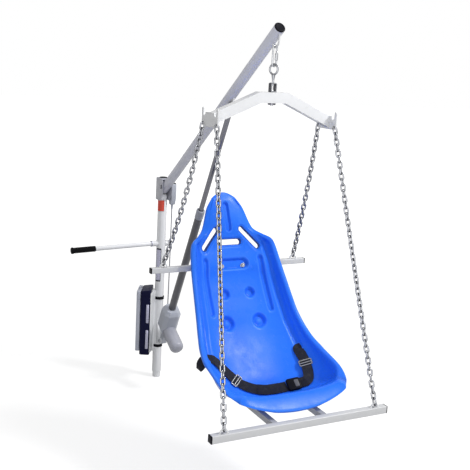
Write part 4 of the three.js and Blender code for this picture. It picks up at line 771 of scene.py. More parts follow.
@shared
def chain_plating(name):
    """Zinc of the chains with weathered patches, painted near-black where the links turn away as
    painted shade.
    """
    paint = plated(name, finish_of("chain"), 0.2)
    # Painted shade: near-black where the links turn away from view.
    return paint.facing((0.010, 0.010, 0.016), 0.08, 0.42)


@shared
def slider_steel(name):
    """Dull plating of the belt's adjusters."""
    return plated(name, toned(finish_of("zinc"), 0.55), 0.4)


@shared
def dark_steel(name):
    """Polished rod and pins, with lines along the rod."""
    return plated(name, finish_of("steel"), 0.2, (6, 0.6, 0.6))


@shared
def bare_plate(name):
    """Blank silver plate, darker where it turns away as painted shade."""
    # Painted shade: darker towards the plate's turned-away sides.
    paint = Paint(name, (0.36, 0.36, 0.46), 0.32, 0.6).facing((0.05, 0.05, 0.09), 0.3, 0.8)
    return paint.mottle(40, 0.1).polish(90, 0.08).bump(paint.noise(500, 2, (0.1, 1, 1)), 0.00004)


@shared
def orange_patch(name):
    """Plain orange film."""
    return Paint(name, finish_of("orange"), 0.4).mottle(120, 0.18).polish(80, 0.08)


@shared
def belt_webbing(name):
    """Woven webbing: ribs across, a twill line along, from the strap's own coordinates."""
    paint = Paint(name, finish_of("webbing"), 0.75, 0.0, 0.12)
    uv = paint.nodes.new("ShaderNodeUVMap")
    uv.uv_map = "strap"
    waves = []
    for direction, scale in (("X", 150), ("Y", 190), ("DIAGONAL", 120)):
        wave = paint.nodes.new("ShaderNodeTexWave")
        wave.bands_direction = direction
        wave.inputs["Scale"].default_value = scale
        wave.inputs["Distortion"].default_value = 0.4
        paint.links.new(uv.outputs["UV"], wave.inputs["Vector"])
        waves.append(wave.outputs["Fac"])
    paint.tint(paint.ramp(waves[0], 0, 0.55, 0.4, 1), (0.028, 0.028, 0.038))
    paint.tint(paint.ramp(paint.noise(60, 6), 0, 0.5, 0.5, 0.8), (0.05, 0.048, 0.045))
    for wave in waves:
        paint.bump(wave, 0.00035, 0.7)
    paint.shader.inputs["Sheen Weight"].default_value = 0.08
    paint.shader.inputs["Sheen Roughness"].default_value = 0.5
    return paint


class MakeStage(bpy.types.Operator):
    """Make the camera, the lamps, the world and the floor"""
    bl_idname = "lift.make_stage"
    bl_label = "Stage"
    bl_options = {"UNDO"}

    aim = (0, -0.9, 0.95)
    # Each lamp has its name, the setting of its power, its size and its place.
    lamps = (
        ("key_lamp", "key_power", 1.1, (3.0, -3.0, 4.8)),
        ("fill_lamp", "fill_power", 3.0, (-2.2, -5.9, 2.1)),
        ("top_lamp", "top_power", 2.6, (-0.6, 0.6, 4.4)),
    )
    floor_half = 30.0

    def camera(self, s):
        """The camera at the photograph's angle."""
        data = bpy.data.cameras.new("camera")
        data.lens = s.camera_lens
        obj = bpy.data.objects.new("camera", data)
        turned = (Matrix.Rotation(s.camera_azimuth, 4, "Z")
                  @ Matrix.Rotation(pi / 2 - s.camera_pitch, 4, "X")
                  @ Matrix.Rotation(s.camera_roll, 4, "Z"))
        obj.matrix_world = Matrix.Translation(s.camera_place) @ turned
        linked(obj)
        bpy.context.scene.camera = obj

    def lamp(self, name, power, size, spot):
        """A soft square lamp that looks at the lift."""
        data = bpy.data.lights.new(name, "AREA")
        data.energy, data.size = power, size
        obj = bpy.data.objects.new(name, data)
        way = (Vector(self.aim) - Vector(spot)).normalized()
        obj.matrix_world = Matrix.Translation(spot) @ way.to_track_quat("-Z", "Y").to_matrix().to_4x4()
        linked(obj)

    def seen(self, tree):
        """One where the camera or a reflection looks, and zero for light."""
        path = tree.nodes.new("ShaderNodeLightPath")
        value = path.outputs["Is Camera Ray"]
        for name in ("Is Glossy Ray", "Is Transmission Ray"):
            most = tree.nodes.new("ShaderNodeMath")
            most.operation = "MAXIMUM"
            tree.links.new(value, most.inputs[0])
            tree.links.new(path.outputs[name], most.inputs[1])
            value = most.outputs[0]
        return value

    def world(self, s):
        """A white background over a plain ambient light."""
        world = bpy.data.worlds.new("studio")
        bpy.context.scene.world = world
        world.use_nodes = True
        tree = world.node_tree
        light = tree.nodes["Background"]
        light.inputs["Color"].default_value = (1, 1, 1, 1)
        light.inputs["Strength"].default_value = s.ambient
        white = tree.nodes.new("ShaderNodeBackground")
        mix = tree.nodes.new("ShaderNodeMixShader")
        white.inputs["Color"].default_value = (1, 1, 1, 1)
        tree.links.new(self.seen(tree), mix.inputs["Fac"])
        tree.links.new(light.outputs[0], mix.inputs[1])
        tree.links.new(white.outputs[0], mix.inputs[2])
        tree.links.new(mix.outputs[0], tree.nodes["World Output"].inputs["Surface"])

    def floor(self, s):
        """A wide pale floor that keeps the shadow."""
        half = self.floor_half
        mesh = bpy.data.meshes.new("floor")
        corners = [(-half, -half, 0), (half, -half, 0), (half, half, 0), (-half, half, 0)]
        mesh.from_pydata(corners, [], [(0, 1, 2, 3)])
        obj = bpy.data.objects.new("floor", mesh)
        linked(obj)
        paint = Paint("floor_paint", s.floor_colour, 0.9, 0.0, 0.1)
        tree = paint.material.node_tree
        glow = tree.nodes.new("ShaderNodeMath")
        glow.operation = "MULTIPLY"
        coordinates = tree.nodes.new("ShaderNodeTexCoord")
        away = tree.nodes.new("ShaderNodeVectorMath")
        away.operation = "LENGTH"
        tree.links.new(coordinates.outputs["Object"], away.inputs[0])
        spread = paint.ramp(away.outputs["Value"], s.floor_glow, 1, s.floor_near, s.floor_far)
        tree.links.new(self.seen(tree), glow.inputs[0])
        tree.links.new(spread, glow.inputs[1])
        paint.shader.inputs["Emission Color"].default_value = (1, 1, 1, 1)
        tree.links.new(glow.outputs[0], paint.shader.inputs["Emission Strength"])
        mesh.materials.append(paint.material)

    def execute(self, context):
        """Makes the stage."""
        scene = context.scene
        s = scene.lift_stage
        scene.view_settings.view_transform = "Standard"
        self.camera(s)
        self.world(s)
        self.floor(s)
        for name, power, size, spot in self.lamps:
            self.lamp(name, getattr(s, power), size, spot)
        return {"FINISHED"}


class MakeCable(bpy.types.Operator):
    """Make the handset's hanging cable"""
    bl_idname = "lift.make_cable"
    bl_label = "Cable"
    bl_options = {"UNDO"}

    route = (
        (0.049, -0.022, 0.996), (0.049, -0.022, 0.968), (0.049, -0.0218, 0.900),
        (0.049, -0.0215, 0.800), (0.049, -0.021, 0.700), (0.049, -0.0203, 0.600),
        (0.049, -0.019, 0.500), (0.0488, -0.017, 0.420), (0.0484, -0.012, 0.350),
        (0.0478, -0.003, 0.290), (0.046, 0.009, 0.240), (0.043, 0.021, 0.200),
        (0.038, 0.032, 0.174), (0.031, 0.040, 0.164), (0.0236, 0.0459, 0.163),
        (0.0183, 0.0487, 0.163),
    )
    diameter = 0.006
    steps = 240
    ridges = 6

    def execute(self, context):
        """Makes the cable and its plug."""
        line = curve_points(self.route, self.steps)
        data = bpy.data.curves.new("handset_cable_sheath", "CURVE")
        data.dimensions = "3D"
        data.bevel_depth = self.diameter / 2
        data.bevel_resolution = 5
        data.use_fill_caps = True
        spline = data.splines.new("POLY")
        spline.points.add(len(line) - 1)
        for point, p in zip(spline.points, line):
            point.co = (*p, 1)
        obj = bpy.data.objects.new("handset_cable_sheath", data)
        settled(obj, cable_sheath(), ["handset_cable"])
        power = Matrix.Rotation(context.scene.lift_power.turn, 4, "Z")
        spot = power @ Vector((0.010, -0.050, 0.163))
        along = power.to_3x3() @ X
        rings = [(0.0042, 0)]
        for k in range(self.ridges):
            low = 0.003 + 0.0035 * k
            size = 0.0044 + 0.0005 * k
            rings += [(size, low), (size, low + 0.0022), (size - 0.0008, low + 0.0024)]
        rings += [(0.008, 0.0245), (0.008, 0.0253), (0.0056, 0.0256), (0.0056, 0.0415)]
        plug = refined("cable_plug", [lathe(rings, frame_of(spot, along, Z), corner=FINE_CORNER)],
                       black_plastic())
        return {"FINISHED"}


class MakeMast(bpy.types.Operator):
    """Make the mast, its foot, its head and the plates on it"""
    bl_idname = "lift.make_mast"
    bl_label = "Mast"
    bl_options = {"UNDO"}

    # Each plate has its angles, its heights, its thickness, its corner radius, its finish and its slot.
    plates = (
        ("side_plate", 190, 250, 0.588, 0.766, 0.0009, 0.003, bare_plate, "zinc_plate"),
        ("side_plate_border", 185, 256, 0.580, 0.774, 0.0005, 0.004, black_plastic, "black_plastic"),
        ("plain_patch", 168, 270, 0.989, 1.050, 0.0009, 0.004, orange_patch, "stop_red"),
        ("patch_border", 163, 277, 0.983, 1.056, 0.0005, 0.006, white_coat, "white_powder_coat"),
    )
    ring_length = 0.005
    ring_reach = 0.0055
    ring_rise = 0.0012

    def socket_bead(self, s, side):
        """The weld where the cross tube leaves the mast."""
        radius, mast = s.socket / 2, s.diameter / 2
        return [(side * sqrt(mast ** 2 - y ** 2), y, s.handle_height + z)
                for y, z in circle(radius, 90)]

    def wrapped(self, s, start, end, low, high, rise, corner, steps=40):
        """A thin plate wrapped on the mast between two angles and two heights."""
        radius, half = s.diameter / 2, (high - low) / 2
        width = radius * radians(end - start)
        rings = []
        for k in range(steps + 1):
            u = width * k / steps
            edge = max(corner - min(u, width - u), 0)
            tall = half - corner + sqrt(max(corner ** 2 - edge ** 2, (corner * 0.05) ** 2))
            angle = radians(start) + u / radius
            ring = []
            for reach, v in ((-SINK, -tall), (rise, -tall), (rise, tall), (-SINK, tall)):
                ring.append(((radius + reach) * cos(angle), (radius + reach) * sin(angle),
                             low + half + v))
            rings.append(ring)
        return loft(rings)

    def execute(self, context):
        """Makes the mast's pieces."""
        s = context.scene.lift_mast
        outer, bore = s.diameter / 2, s.diameter / 2 - s.wall
        tube = lathe([
            (bore, s.bottom), (outer, s.bottom), (outer, s.top), (outer * 0.86, s.top + s.wall * 2),
            (outer * 0.5, s.top + s.wall * 3), (CORE, s.top + s.wall * 3.4), (CORE, s.top - s.wall),
            (bore, s.top - s.wall),
        ], looped=True)
        beads = [bead(self.socket_bead(s, side), X, s.bead) for side in (-1, 1)]
        refined("mast_tube", [tube, *beads], white_coat())
        foot, spigot = s.foot / 2, bore - 2 * GAP
        refined("foot_plug", [lathe([
            (CORE, 0), (foot * 0.93, 0), (foot, 0.002), (foot, s.bottom - GAP),
            (spigot, s.bottom - GAP), (spigot, s.bottom + s.spigot), (CORE, s.bottom + s.spigot),
        ])], white_coat())
        cross = frame_of((-s.socket_left, 0, s.handle_height), X, Z)
        reach, bore = s.socket_left + s.socket_right, s.cross_bore
        tube = lathe(sleeve_section(bore, s.socket / 2, 0, reach), cross, True)
        refined("handle_socket", [tube], white_coat())
        dressed("mast_head", lilac_coat(), 0.0016)
        low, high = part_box("head_cap")
        middle = (low + high) / 2
        size = high - low
        lid = block(rectangle(size.x, size.y, 0.003, 4, (middle.x, middle.y)),
                    soft_levels(low.z, high.z - 0.001, 0.0012))
        piece("head_lid", [lid], lilac_coat(), body="mast")
        disc = s.diameter * 0.44
        cap = lathe([(CORE, 0), (disc, 0), (disc, 0.003), (disc * 0.9, 0.0045), (CORE, 0.005)],
                    Matrix.Translation((0, 0, high.z - 0.0014)))
        refined("head_cap", [cap], black_plastic())
        dressed("boom_pivot_bolt", dark_steel(), 0.0008)
        for name, *sizes, finish, slot in self.plates:
            piece(name, [self.wrapped(s, *sizes)], finish(), body="mast")
        ring = sleeve_section(s.cross_bore, s.socket / 2 + self.ring_rise, 0, self.ring_length)
        for number, spot in enumerate((-s.socket_left, s.socket_right), 1):
            side = -1 if spot < 0 else 1
            base = frame_of((spot - side * self.ring_reach, 0, s.handle_height), X * side, Z)
            piece(f"socket_ring_{number}", [lathe(ring, base, True)], bare_plate(), body="mast")
        return {"FINISHED"}


class MakeHandle(bpy.types.Operator):
    """Make the push handle and its grip"""
    bl_idname = "lift.make_handle"
    bl_label = "Handle"
    bl_options = {"UNDO"}

    bend = 0.03
    flange = 0.014
    flange_radius = 0.018
    vent = 0.0006
    end_room = 0.0004

    def execute(self, context):
        """Makes the handle's pieces."""
        scene = context.scene
        s, mast = scene.lift_handle, scene.lift_mast
        elbow = Vector((-mast.socket_left - s.diameter, 0, mast.handle_height))
        way = Vector((-cos(s.droop), 0, -sin(s.droop)))
        reach = (s.end + elbow.x) / cos(s.droop)
        flange, rim, vent = self.flange, self.flange_radius, self.vent
        path = rounded([(mast.socket_right - GAP, 0, mast.handle_height), elbow,
                        elbow + way * (reach - flange)], self.bend, 8)
        refined("handle_tube", [sweep(path, Y, circle(s.diameter / 2))], white_coat())
        radius, inner = s.grip_diameter / 2, s.diameter / 2 + GAP
        profile = [(inner, 0), (radius * 0.94, 0.0), (radius, 0.004)]
        span = s.grip - flange - 0.01
        pitch, groove = span / s.grip_ribs, radius * 0.955
        for k in range(s.grip_ribs):
            low = 0.006 + span * k / s.grip_ribs
            profile += [(radius, low), (radius, low + pitch * 0.6), (groove, low + pitch * 0.72),
                        (groove, low + pitch * 0.9)]
        end = s.grip - flange + self.end_room
        profile += [(radius, s.grip - flange), (rim, s.grip - flange * 0.8), (rim, s.grip - 0.003),
                    (0.0155, s.grip), (vent, s.grip), (vent, end), (inner, end)]
        base = frame_of(elbow + way * (reach - s.grip), way, Z)
        refined("handle_grip", [lathe(profile, base, True, corner=0.0006)], grip_rubber())
        return {"FINISHED"}


class MakePower(bpy.types.Operator):
    """Make the control box, the battery and their straps"""
    bl_idname = "lift.make_power"
    bl_label = "Power unit"
    bl_options = {"UNDO"}

    slope = 0.14
    slope_depth = 0.02
    strips = ((0.3436, 0.4527), (0.1889, 0.3007))
    straps = (("strap_lower", 0.196), ("strap_upper", 0.482))
    strap_half = 0.008
    strap_rise = 0.0038
    pad_count = 9

    def sloped(self, shape, above, start):
        """A shape whose top falls away from the mast."""
        points, faces = shape
        lowered = [(p[0], p[1], p[2] - (max(p[0] - start, 0) * self.slope if p[2] > above else 0))
                   for p in points]
        return lowered, faces

    def execute(self, context):
        """Makes the power unit's pieces."""
        scene = context.scene
        s, mast = scene.lift_power, scene.lift_mast
        unit = Matrix.Rotation(s.turn, 4, "Z")
        middle = s.start + s.thickness / 2
        span = s.top - s.bottom
        outline = rectangle(s.thickness, s.width, s.corner, 6, (middle, 0))
        seams = (s.bottom + span * 0.12, s.bottom + span * 0.9)
        body = block(outline, soft_levels(s.bottom, s.top, 0.006, grooves=seams))
        body = self.sloped(body, s.top - self.slope_depth, s.start)
        refined("control_box", [moved(body, unit)], navy_plastic())
        side = s.width / 2
        for number, (low, high) in enumerate(self.strips, 1):
            strip = rectangle(0.015, high - low, 0.002, 3)
            shape = block(strip, [(-SINK, 0), (0.0006, 0), (0.0009, 0.0006)])
            spot = (s.start + 0.016, side, (low + high) / 2)
            piece(f"box_strip_{number}", [moved(shape, unit @ frame_of(spot, Y, X))], bare_plate(),
                  body="mast")
        thickness = s.battery_thickness
        start = s.start + s.thickness + GAP
        case = rectangle(thickness, s.width * 0.94, 0.0098, 5, (start + thickness / 2, 0))
        tall = s.battery_top - s.battery_bottom
        grooves = (s.battery_bottom + tall * 0.16, s.battery_bottom + tall * 0.86)
        battery = block(case, soft_levels(s.battery_bottom, s.battery_top, 0.004, grooves=grooves))
        battery = self.sloped(battery, s.battery_top - self.slope_depth, start)
        latch = rectangle(0.009, 0.046, 0.003, 4, (start + thickness / 2, 0))
        grip = block(latch, soft_levels(s.battery_top - 0.002, s.battery_top + 0.012, 0.003))
        pads = []
        for k in range(self.pad_count):
            z = s.battery_bottom + tall * (0.30 + 0.05 * k)
            bar = block(rectangle(0.07, 0.006, 0.0025, 3), [(-SINK, 0), (0.0009, 0), (0.0014, 0.001)])
            pads.append(moved(bar, frame_of((start + thickness, 0, z), X, Y)))
        refined("battery_pack", [moved(shape, unit) for shape in (battery, grip, *pads)],
                pale_plastic())
        button = [(CORE, 0), (0.0078, 0), (0.0078, 0.010), (0.013, 0.010), (0.013, 0.020),
                  (0.0125, 0.0225), (0.0095, 0.0245), (CORE, 0.025)]
        height = s.top - s.button_below
        spot = unit @ frame_of((middle, -side + 0.015 - GAP, height), -Y, X)
        refined("stop_button", [lathe(button, spot)], stop_plastic())
        collar = lathe(sleeve_section(0.0140, 0.0162, 0, 0.0018),
                       unit @ frame_of((middle, -side + 0.0006, height), -Y, X), True)
        piece("stop_collar", [collar], pale_plastic(), body="mast")
        outer, inner = mast.diameter / 2 + self.strap_rise, mast.diameter / 2 + GAP
        for node, centre in self.straps:
            low, high = centre - self.strap_half, centre + self.strap_half
            ring = lathe([(inner, low), (outer, low), (outer, centre - 0.0055),
                          (outer - 0.0008, centre - 0.005), (outer - 0.0008, centre + 0.005),
                          (outer, centre + 0.0055), (outer, high), (inner, high)],
                         looped=True, corner=0.0004)
            refined(node, [ring], black_plastic())
        dressed("box_saddle", white_coat(), 0.0012)
        hug = mast.diameter / 2
        outline = rounded([
            (s.start + 0.0015, side + 0.0008), (s.start + 0.0015, -side - 0.0008),
            (s.start - 0.004, -side + 0.014), (hug * 0.98, -hug * 0.55), (hug * 0.98, hug * 0.55),
            (s.start - 0.004, side - 0.014),
        ], 0.004, 4, True)
        cradle = block(outline, soft_levels(s.bottom + 0.012, s.top - 0.018, 0.012, 6))
        piece("saddle_cradle", [moved(cradle, unit)], white_coat(), body="mast")
        return {"FINISHED"}


class MakeHandset(bpy.types.Operator):
    """Make the hand control and its hook"""
    bl_idname = "lift.make_handset"
    bl_label = "Handset"
    bl_options = {"UNDO"}

    def execute(self, context):
        """Makes the handset's pieces."""
        dressed("handset_body", pale_plastic(), 0.0022)
        dressed("handset_hook", black_plastic(), 0.0009)
        for node in ("up_button", "down_button"):
            low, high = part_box(node)
            centre = (low + high) / 2
            rise = high.x - low.x
            profile = [(CORE, 0), (0.0075, 0), (0.0075, rise * 0.8), (0.0066, rise * 0.95),
                       (0.005, rise), (0.0036, rise * 0.97), (CORE, rise * 0.95)]
            base = frame_of((low.x, centre.y, centre.z), X, Z)
            refined(node, [lathe(profile, base, sides=40, corner=0.0005)], black_plastic())
        return {"FINISHED"}


class MakeDrive(bpy.types.Operator):
    """Make the actuator, its bracket, its rod and its pins"""
    bl_idname = "lift.make_drive"
    bl_label = "Drive"
    bl_options = {"UNDO"}

    motor_start = 0.0279
    rod_room = 0.0014
    rod_inside = 0.110
    rod_end_length = 0.046
    # Heights along the drive and insets of the gearbox's cover
    cover_levels = ((0.106, 0.010), (0.118, 0.0), (0.232, 0.0), (0.251, 0.013))
    screw_heights = (0.176, 0.214)

    def execute(self, context):
        """Makes the drive's pieces."""
        s = context.scene.lift_drive
        line = Vector(s.end) - Vector(s.base)
        base = frame_of(s.base, line, X)
        top = s.tube_start + s.tube_length
        collar = top - s.collar_length
        outer = s.tube_diameter / 2
        tube = lathe(sleeve_section(outer * 0.85, outer, s.tube_start, collar - GAP), base, True)
        refined("actuator_tube", [tube], charcoal_coat())
        rim, hole = s.collar_diameter / 2, s.rod_diameter / 2 + self.rod_room
        refined("tube_collar", [lathe([
            (hole, collar), (rim * 0.9, collar), (rim, collar + 0.004), (rim, collar + 0.012),
            (rim * 0.97, collar + 0.013), (rim * 0.97, collar + 0.0145), (rim, collar + 0.0155),
            (rim, top - 0.012), (rim, top - 0.004), (rim * 0.88, top), (hole, top),
        ], base, True)], pale_plastic())
        rod = s.rod_diameter / 2
        rod_top = line.length - self.rod_end_length
        shaft = lathe(sleeve_section(rod * 0.75, rod, top - self.rod_inside, rod_top), base, True)
        refined("actuator_rod", [shaft], dark_steel())
        radius, reach = s.motor_diameter / 2, s.motor_reach
        axis = base @ frame_of((0, 0, s.motor_height), -Y, X)
        start = self.motor_start
        motor = lathe([
            (CORE, start), (radius, start), (radius, reach - 0.050), (radius * 0.975, reach - 0.049),
            (radius * 0.975, reach - 0.046), (radius, reach - 0.045), (radius, reach - 0.022),
            (radius * 0.92, reach - 0.011), (radius * 0.72, reach - 0.0033), (radius * 0.4, reach),
            (CORE, reach),
        ], axis, corner=0.006)
        refined("motor_housing", [motor], motor_coat())
        screws = []
        for side in (-1, 1):
            for low in self.screw_heights:
                spot = base @ frame_of((side * 0.016, -0.0455, low), -Y, X)
                screws.append(lathe([(0.0045, -0.001), (0.0045, 0.0012), (0.0038, 0.0018),
                                     (0.0022, 0.0018), (0.0022, 0.0006), (0.0002, 0.0006)], spot,
                                    sides=24, corner=FINE_CORNER))
        half, cut = s.gear_half, s.gear_cut
        octagon = [(half, half - cut), (half - cut, half), (cut - half, half), (-half, half - cut),
                   (-half, cut - half), (cut - half, -half), (half - cut, -half), (half, cut - half)]
        cover = block(rounded(octagon, 0.0035, 3, True), self.cover_levels)
        housing = dressed("gear_housing", grey_coat(), 0.0014, 24, extra=[moved(cover, base)])
        smoothed(housing.data, radians(12))
        piece("gear_screws", screws, grey_coat(), body="actuator")
        dressed("actuator_bracket", white_coat(), 0.0008)
        dressed("actuator_pin", zinc_plating(), 0.0008)
        dressed("rod_end", dark_steel(), 0.0010)
        screw_finish = frame["nodes"]["lead_screw"].data.materials
        screw_finish.clear()
        screw_finish.append(dark_steel())
        return {"FINISHED"}


def hanger_height(s):
    """Height of the boom's middle over the hanging point."""
    return s.pivot[2] + (s.hanger_reach + Vector(s.pivot).y) * tan(s.elevation)


class MakeBoom(bpy.types.Operator):
    """Make the boom, its cap, its lug and its staple"""
    bl_idname = "lift.make_boom"
    bl_label = "Boom"
    bl_options = {"UNDO"}

    heel_share = 0.66
    cap_depth = 0.018

    def execute(self, context):
        """Makes the boom's pieces."""
        s = context.scene.lift_boom
        base = Matrix.Translation(s.pivot) @ Matrix.Rotation(-s.elevation, 4, "X")
        heel = s.diameter * self.heel_share
        run = base @ frame_of((0, heel, 0), -Y, X)
        end = s.length + Vector(s.pivot).y / cos(s.elevation)
        reach = end + heel
        outer, bore = s.diameter / 2, s.diameter / 2 - s.wall
        tube = lathe(sleeve_section(bore, outer, 0, reach), run, True)
        refined("boom_tube", [tube], boom_coat())
        inside = reach - self.cap_depth
        cap = [(CORE, inside), (bore - GAP, inside), (bore - GAP, reach + GAP),
               (outer, reach + GAP), (outer, reach + 0.0025), (outer * 0.9, reach + 0.0052),
               (outer * 0.74, reach + 0.0058), (outer * 0.70, reach + 0.0044), (CORE, reach + 0.0044)]
        refined("boom_cap", [lathe(cap, run)], black_plastic())
        dressed("rod_lug", white_coat(), 0.0009)
        dressed("rod_pin", dark_steel(), 0.0007)
        hang = Vector((0, -s.hanger_reach, hanger_height(s)))
        half, drop = s.staple_half, s.staple_drop
        bend = [Vector((0, -a, b)) for a, b in arc(0, -drop + half, half, 180, 360, 32)]
        legs = [hang + p for p in bend]
        inverse = base.inverted()
        for index, side in ((0, -1), (len(legs), 1)):
            local = inverse @ (hang + Vector((0, -side * half, 0)))
            local.z = -outer * 0.86
            legs.insert(index, base @ local)
        refined("hanger_staple", [sweep(rounded(legs, 0.004, 3), X, circle(s.wire / 2, WIRE_SIDES))],
                white_coat())
        return {"FINISHED"}


class MakeHanger(bpy.types.Operator):
    """Make the quick link, the swivel and the spreader bow"""
    bl_idname = "lift.make_hanger"
    bl_label = "Hanger"
    bl_options = {"UNDO"}

    ball = 0.014
    neck_radius = 0.0045
    thread_steps = 12
    thread_rise = 0.0006
    thread_depth = 0.0004

    def execute(self, context):
        """Makes the hanging pieces down to the bow."""
        s = context.scene.lift_boom
        bottom = hanger_height(s) - s.staple_drop
        top = bottom + s.wire + s.running
        drop = s.link_height + s.link_spread
        half = (s.link_width - s.wire) / 2
        outline = [*arc(0, top - half, half, 0, 180, 20),
                   *arc(0, top - drop + s.wire + half, half, 180, 360, 20)]
        hang = Matrix.Translation((0, -s.hanger_reach, 0))
        turned = hang @ Matrix.Rotation(s.link_turn, 4, "Z")
        spot = [turned @ Vector((x, 0, z)) for x, z in outline]
        link = sweep(spot, turned.to_3x3() @ Y, circle(s.wire / 2, WIRE_SIDES), True)
        sleeve = turned @ frame_of((half, 0, top - drop * 0.66), Z, X)
        span = drop * 0.32
        nut = s.wire * 0.85
        hexagon = lathe([(s.wire / 2, 0), (nut * 0.9, 0), (nut, 0.0012), (nut, span - 0.0012),
                         (nut * 0.9, span), (s.wire / 2, span)], sleeve, True, 6, FINE_CORNER)
        teeth = [(s.wire / 2 + (self.thread_depth if k % 2 else 0), span + self.thread_rise * (k + 1))
                 for k in range(self.thread_steps)]
        thread = lathe([(s.wire / 2, span), *teeth, (s.wire / 2, span + 0.0084)], sleeve,
                       sides=WIRE_SIDES, corner=0.0001)
        refined("quick_link", [link, hexagon, thread], zinc_plating())
        radius = (s.ring + s.ring_spread - s.wire) / 2
        centre = top - drop + s.wire + s.wire + s.running - radius
        ring = [turned @ Vector((0, y, z)) for y, z in arc(0, centre, radius, 0, 360, 48)[:-1]]
        ball, slim = self.ball, self.neck_radius
        neck = lathe([
            (CORE, s.neck_bottom - ball), (ball / 2, s.neck_bottom - ball),
            (ball / 2, s.neck_bottom - ball * 0.6), (slim, s.neck_bottom - ball * 0.5),
            (slim, s.neck_bottom + 0.009), (0.008, centre - radius - s.wire / 2),
            (0.007, centre - radius), (CORE, centre - radius),
        ], hang, sides=40)
        eye = sweep(ring, turned.to_3x3() @ X, circle(s.wire / 2, WIRE_SIDES), True)
        refined("swivel_eye", [eye, neck], chain_plating())
        dressed("swivel_jaw", chain_plating(), 0.0012)
        dressed("bow_bolt", zinc_plating(), 0.0007)
        dressed("bow_nut", dark_steel(), 0.0009)
        dressed("spreader_bow", white_coat(), 0.0042, 60, 5)
        for side in ("left", "right"):
            dressed("hook_plate_" + side, white_coat(), 0.0009)
        return {"FINISHED"}


class MakeChains(bpy.types.Operator):
    """Make the four chains, link by link"""
    bl_idname = "lift.make_chains"
    bl_label = "Chains"
    bl_options = {"UNDO"}

    eye_room = 0.004
    lug_room = 0.0012
    settling_links = 6
    curve_steps = 2000

    def link(self, s, pitch):
        """The flat outline of one link's wire."""
        waist = (s.width - s.wire) / 2
        half = pitch / 2 + s.wire / 2 - waist
        return [*arc(0, half, waist, 0, 180, 12), *arc(0, -half, waist, 180, 360, 12)]

    def centres(self, top, bottom, links, sag):
        """Evenly spaced middles along a sagging line."""
        chord = (bottom - top).normalized()
        down = (-Z + chord * chord.z).normalized()
        slack = top.lerp(bottom, 0.5) + down * 2 * sag
        fine = [top * (1 - t) ** 2 + slack * (2 * t * (1 - t)) + bottom * t ** 2
                for t in np.linspace(0, 1, self.curve_steps)]
        walk = np.concatenate([[0], np.cumsum([(b - a).length for a, b in zip(fine, fine[1:])])])
        places = np.linspace(0, walk[-1], links)
        table = np.array([tuple(p) for p in fine])
        return [Vector(np.array([np.interp(d, walk, table[:, axis]) for axis in range(3)]))
                for d in places]

    def chain(self, s, top, bottom, links, sag, start):
        """All links of one chain."""
        centres = self.centres(top, bottom, links, sag)
        outline = self.link(s, (centres[1] - centres[0]).length)
        shapes = []
        for i, centre in enumerate(centres):
            settling = min(i, links - 1 - i)
            turned = start * min(settling / self.settling_links, 1)
            twist = i % 2 * pi / 2 + s.twist * settling + turned
            way = (centres[min(i + 1, links - 1)] - centres[max(i - 1, 0)]).normalized()
            flat = (X - way * X.dot(way)).normalized()
            across = Matrix.Rotation(twist, 3, way) @ flat
            wire = [centre + across * x + way * y for x, y in outline]
            shapes.append(sweep(wire, way.cross(across), circle(s.wire / 2, 10), True))
        return shapes

    def execute(self, context):
        """Makes the chains."""
        scene = context.scene
        s = scene.lift_chains
        lug_wire = scene.lift_bars.lug_wire
        low_hang = s.pitch / 2 - lug_wire / 2 - self.lug_room
        top_hang = s.pitch / 2 + self.eye_room
        for side, label in ((-1, "left"), (1, "right")):
            mirror = Matrix.Diagonal((side, 1, 1))
            eye = mirror @ Vector(s.eye_place)
            for where, step, lug, links, sag, turned in (
                ("rear", s.eye_half, s.back_lug, s.back_links, s.back_sag, 0),
                ("front", -s.eye_half, s.front_lug, s.front_links, s.front_sag, s.front_start),
            ):
                start, end = eye + Y * step, mirror @ Vector(lug)
                way = (end - start).normalized()
                shapes = self.chain(s, start + way * top_hang, end - way * low_hang, links, sag, turned)
                node = f"chain_{where}_{label}"
                piece(node + "_links", shapes, chain_plating(), [node])
        return {"FINISHED"}


class MakeBars(bpy.types.Operator):
    """Make the cross bars, their lugs and caps, and the rails"""
    bl_idname = "lift.make_bars"
    bl_label = "Bars"
    bl_options = {"UNDO"}

    bead = 0.0017

    def bar(self, s, node, centre, half, tube, lug_half):
        """A square tube with two lugs and their welds."""
        outline = rectangle(tube, tube, s.corner, 5)
        body = moved(block(outline, [(-half, 0), (half, 0)]), frame_of(centre, X, Z))
        shapes = [body]
        for side in (-1, 1):
            middle = Vector(centre) + X * side * lug_half
            line = [(-s.lug_radius, tube * 0.3), *arc(0, tube / 2, s.lug_radius, 180, 0, 24),
                    (s.lug_radius, tube * 0.3)]
            path = [middle + X * x + Z * z for x, z in line]
            shapes.append(sweep(path, Y, circle(s.lug_wire / 2, WIRE_SIDES)))
            for foot in (-1, 1):
                ring = [middle + X * (foot * s.lug_radius + a) + Y * b + Z * tube / 2
                        for a, b in circle(s.lug_wire / 2 + 0.0006, 30)]
                shapes.append(bead(ring, Z, self.bead))
        refined(node, shapes, white_coat())

    def execute(self, context):
        """Makes the bars and rails."""
        s = context.scene.lift_bars
        self.bar(s, "back_bar", s.back_place, s.back_half, s.back_tube, s.back_lugs)
        self.bar(s, "front_bar", s.front_place, s.front_half, s.front_tube, s.front_lugs)
        for side in ("left", "right"):
            for where in ("back", "front"):
                dressed(f"{where}_bar_cap_{side}", black_plastic(), 0.0018)
            dressed("rail_" + side, rail_coat(), 0.0026, 60)
        return {"FINISHED"}


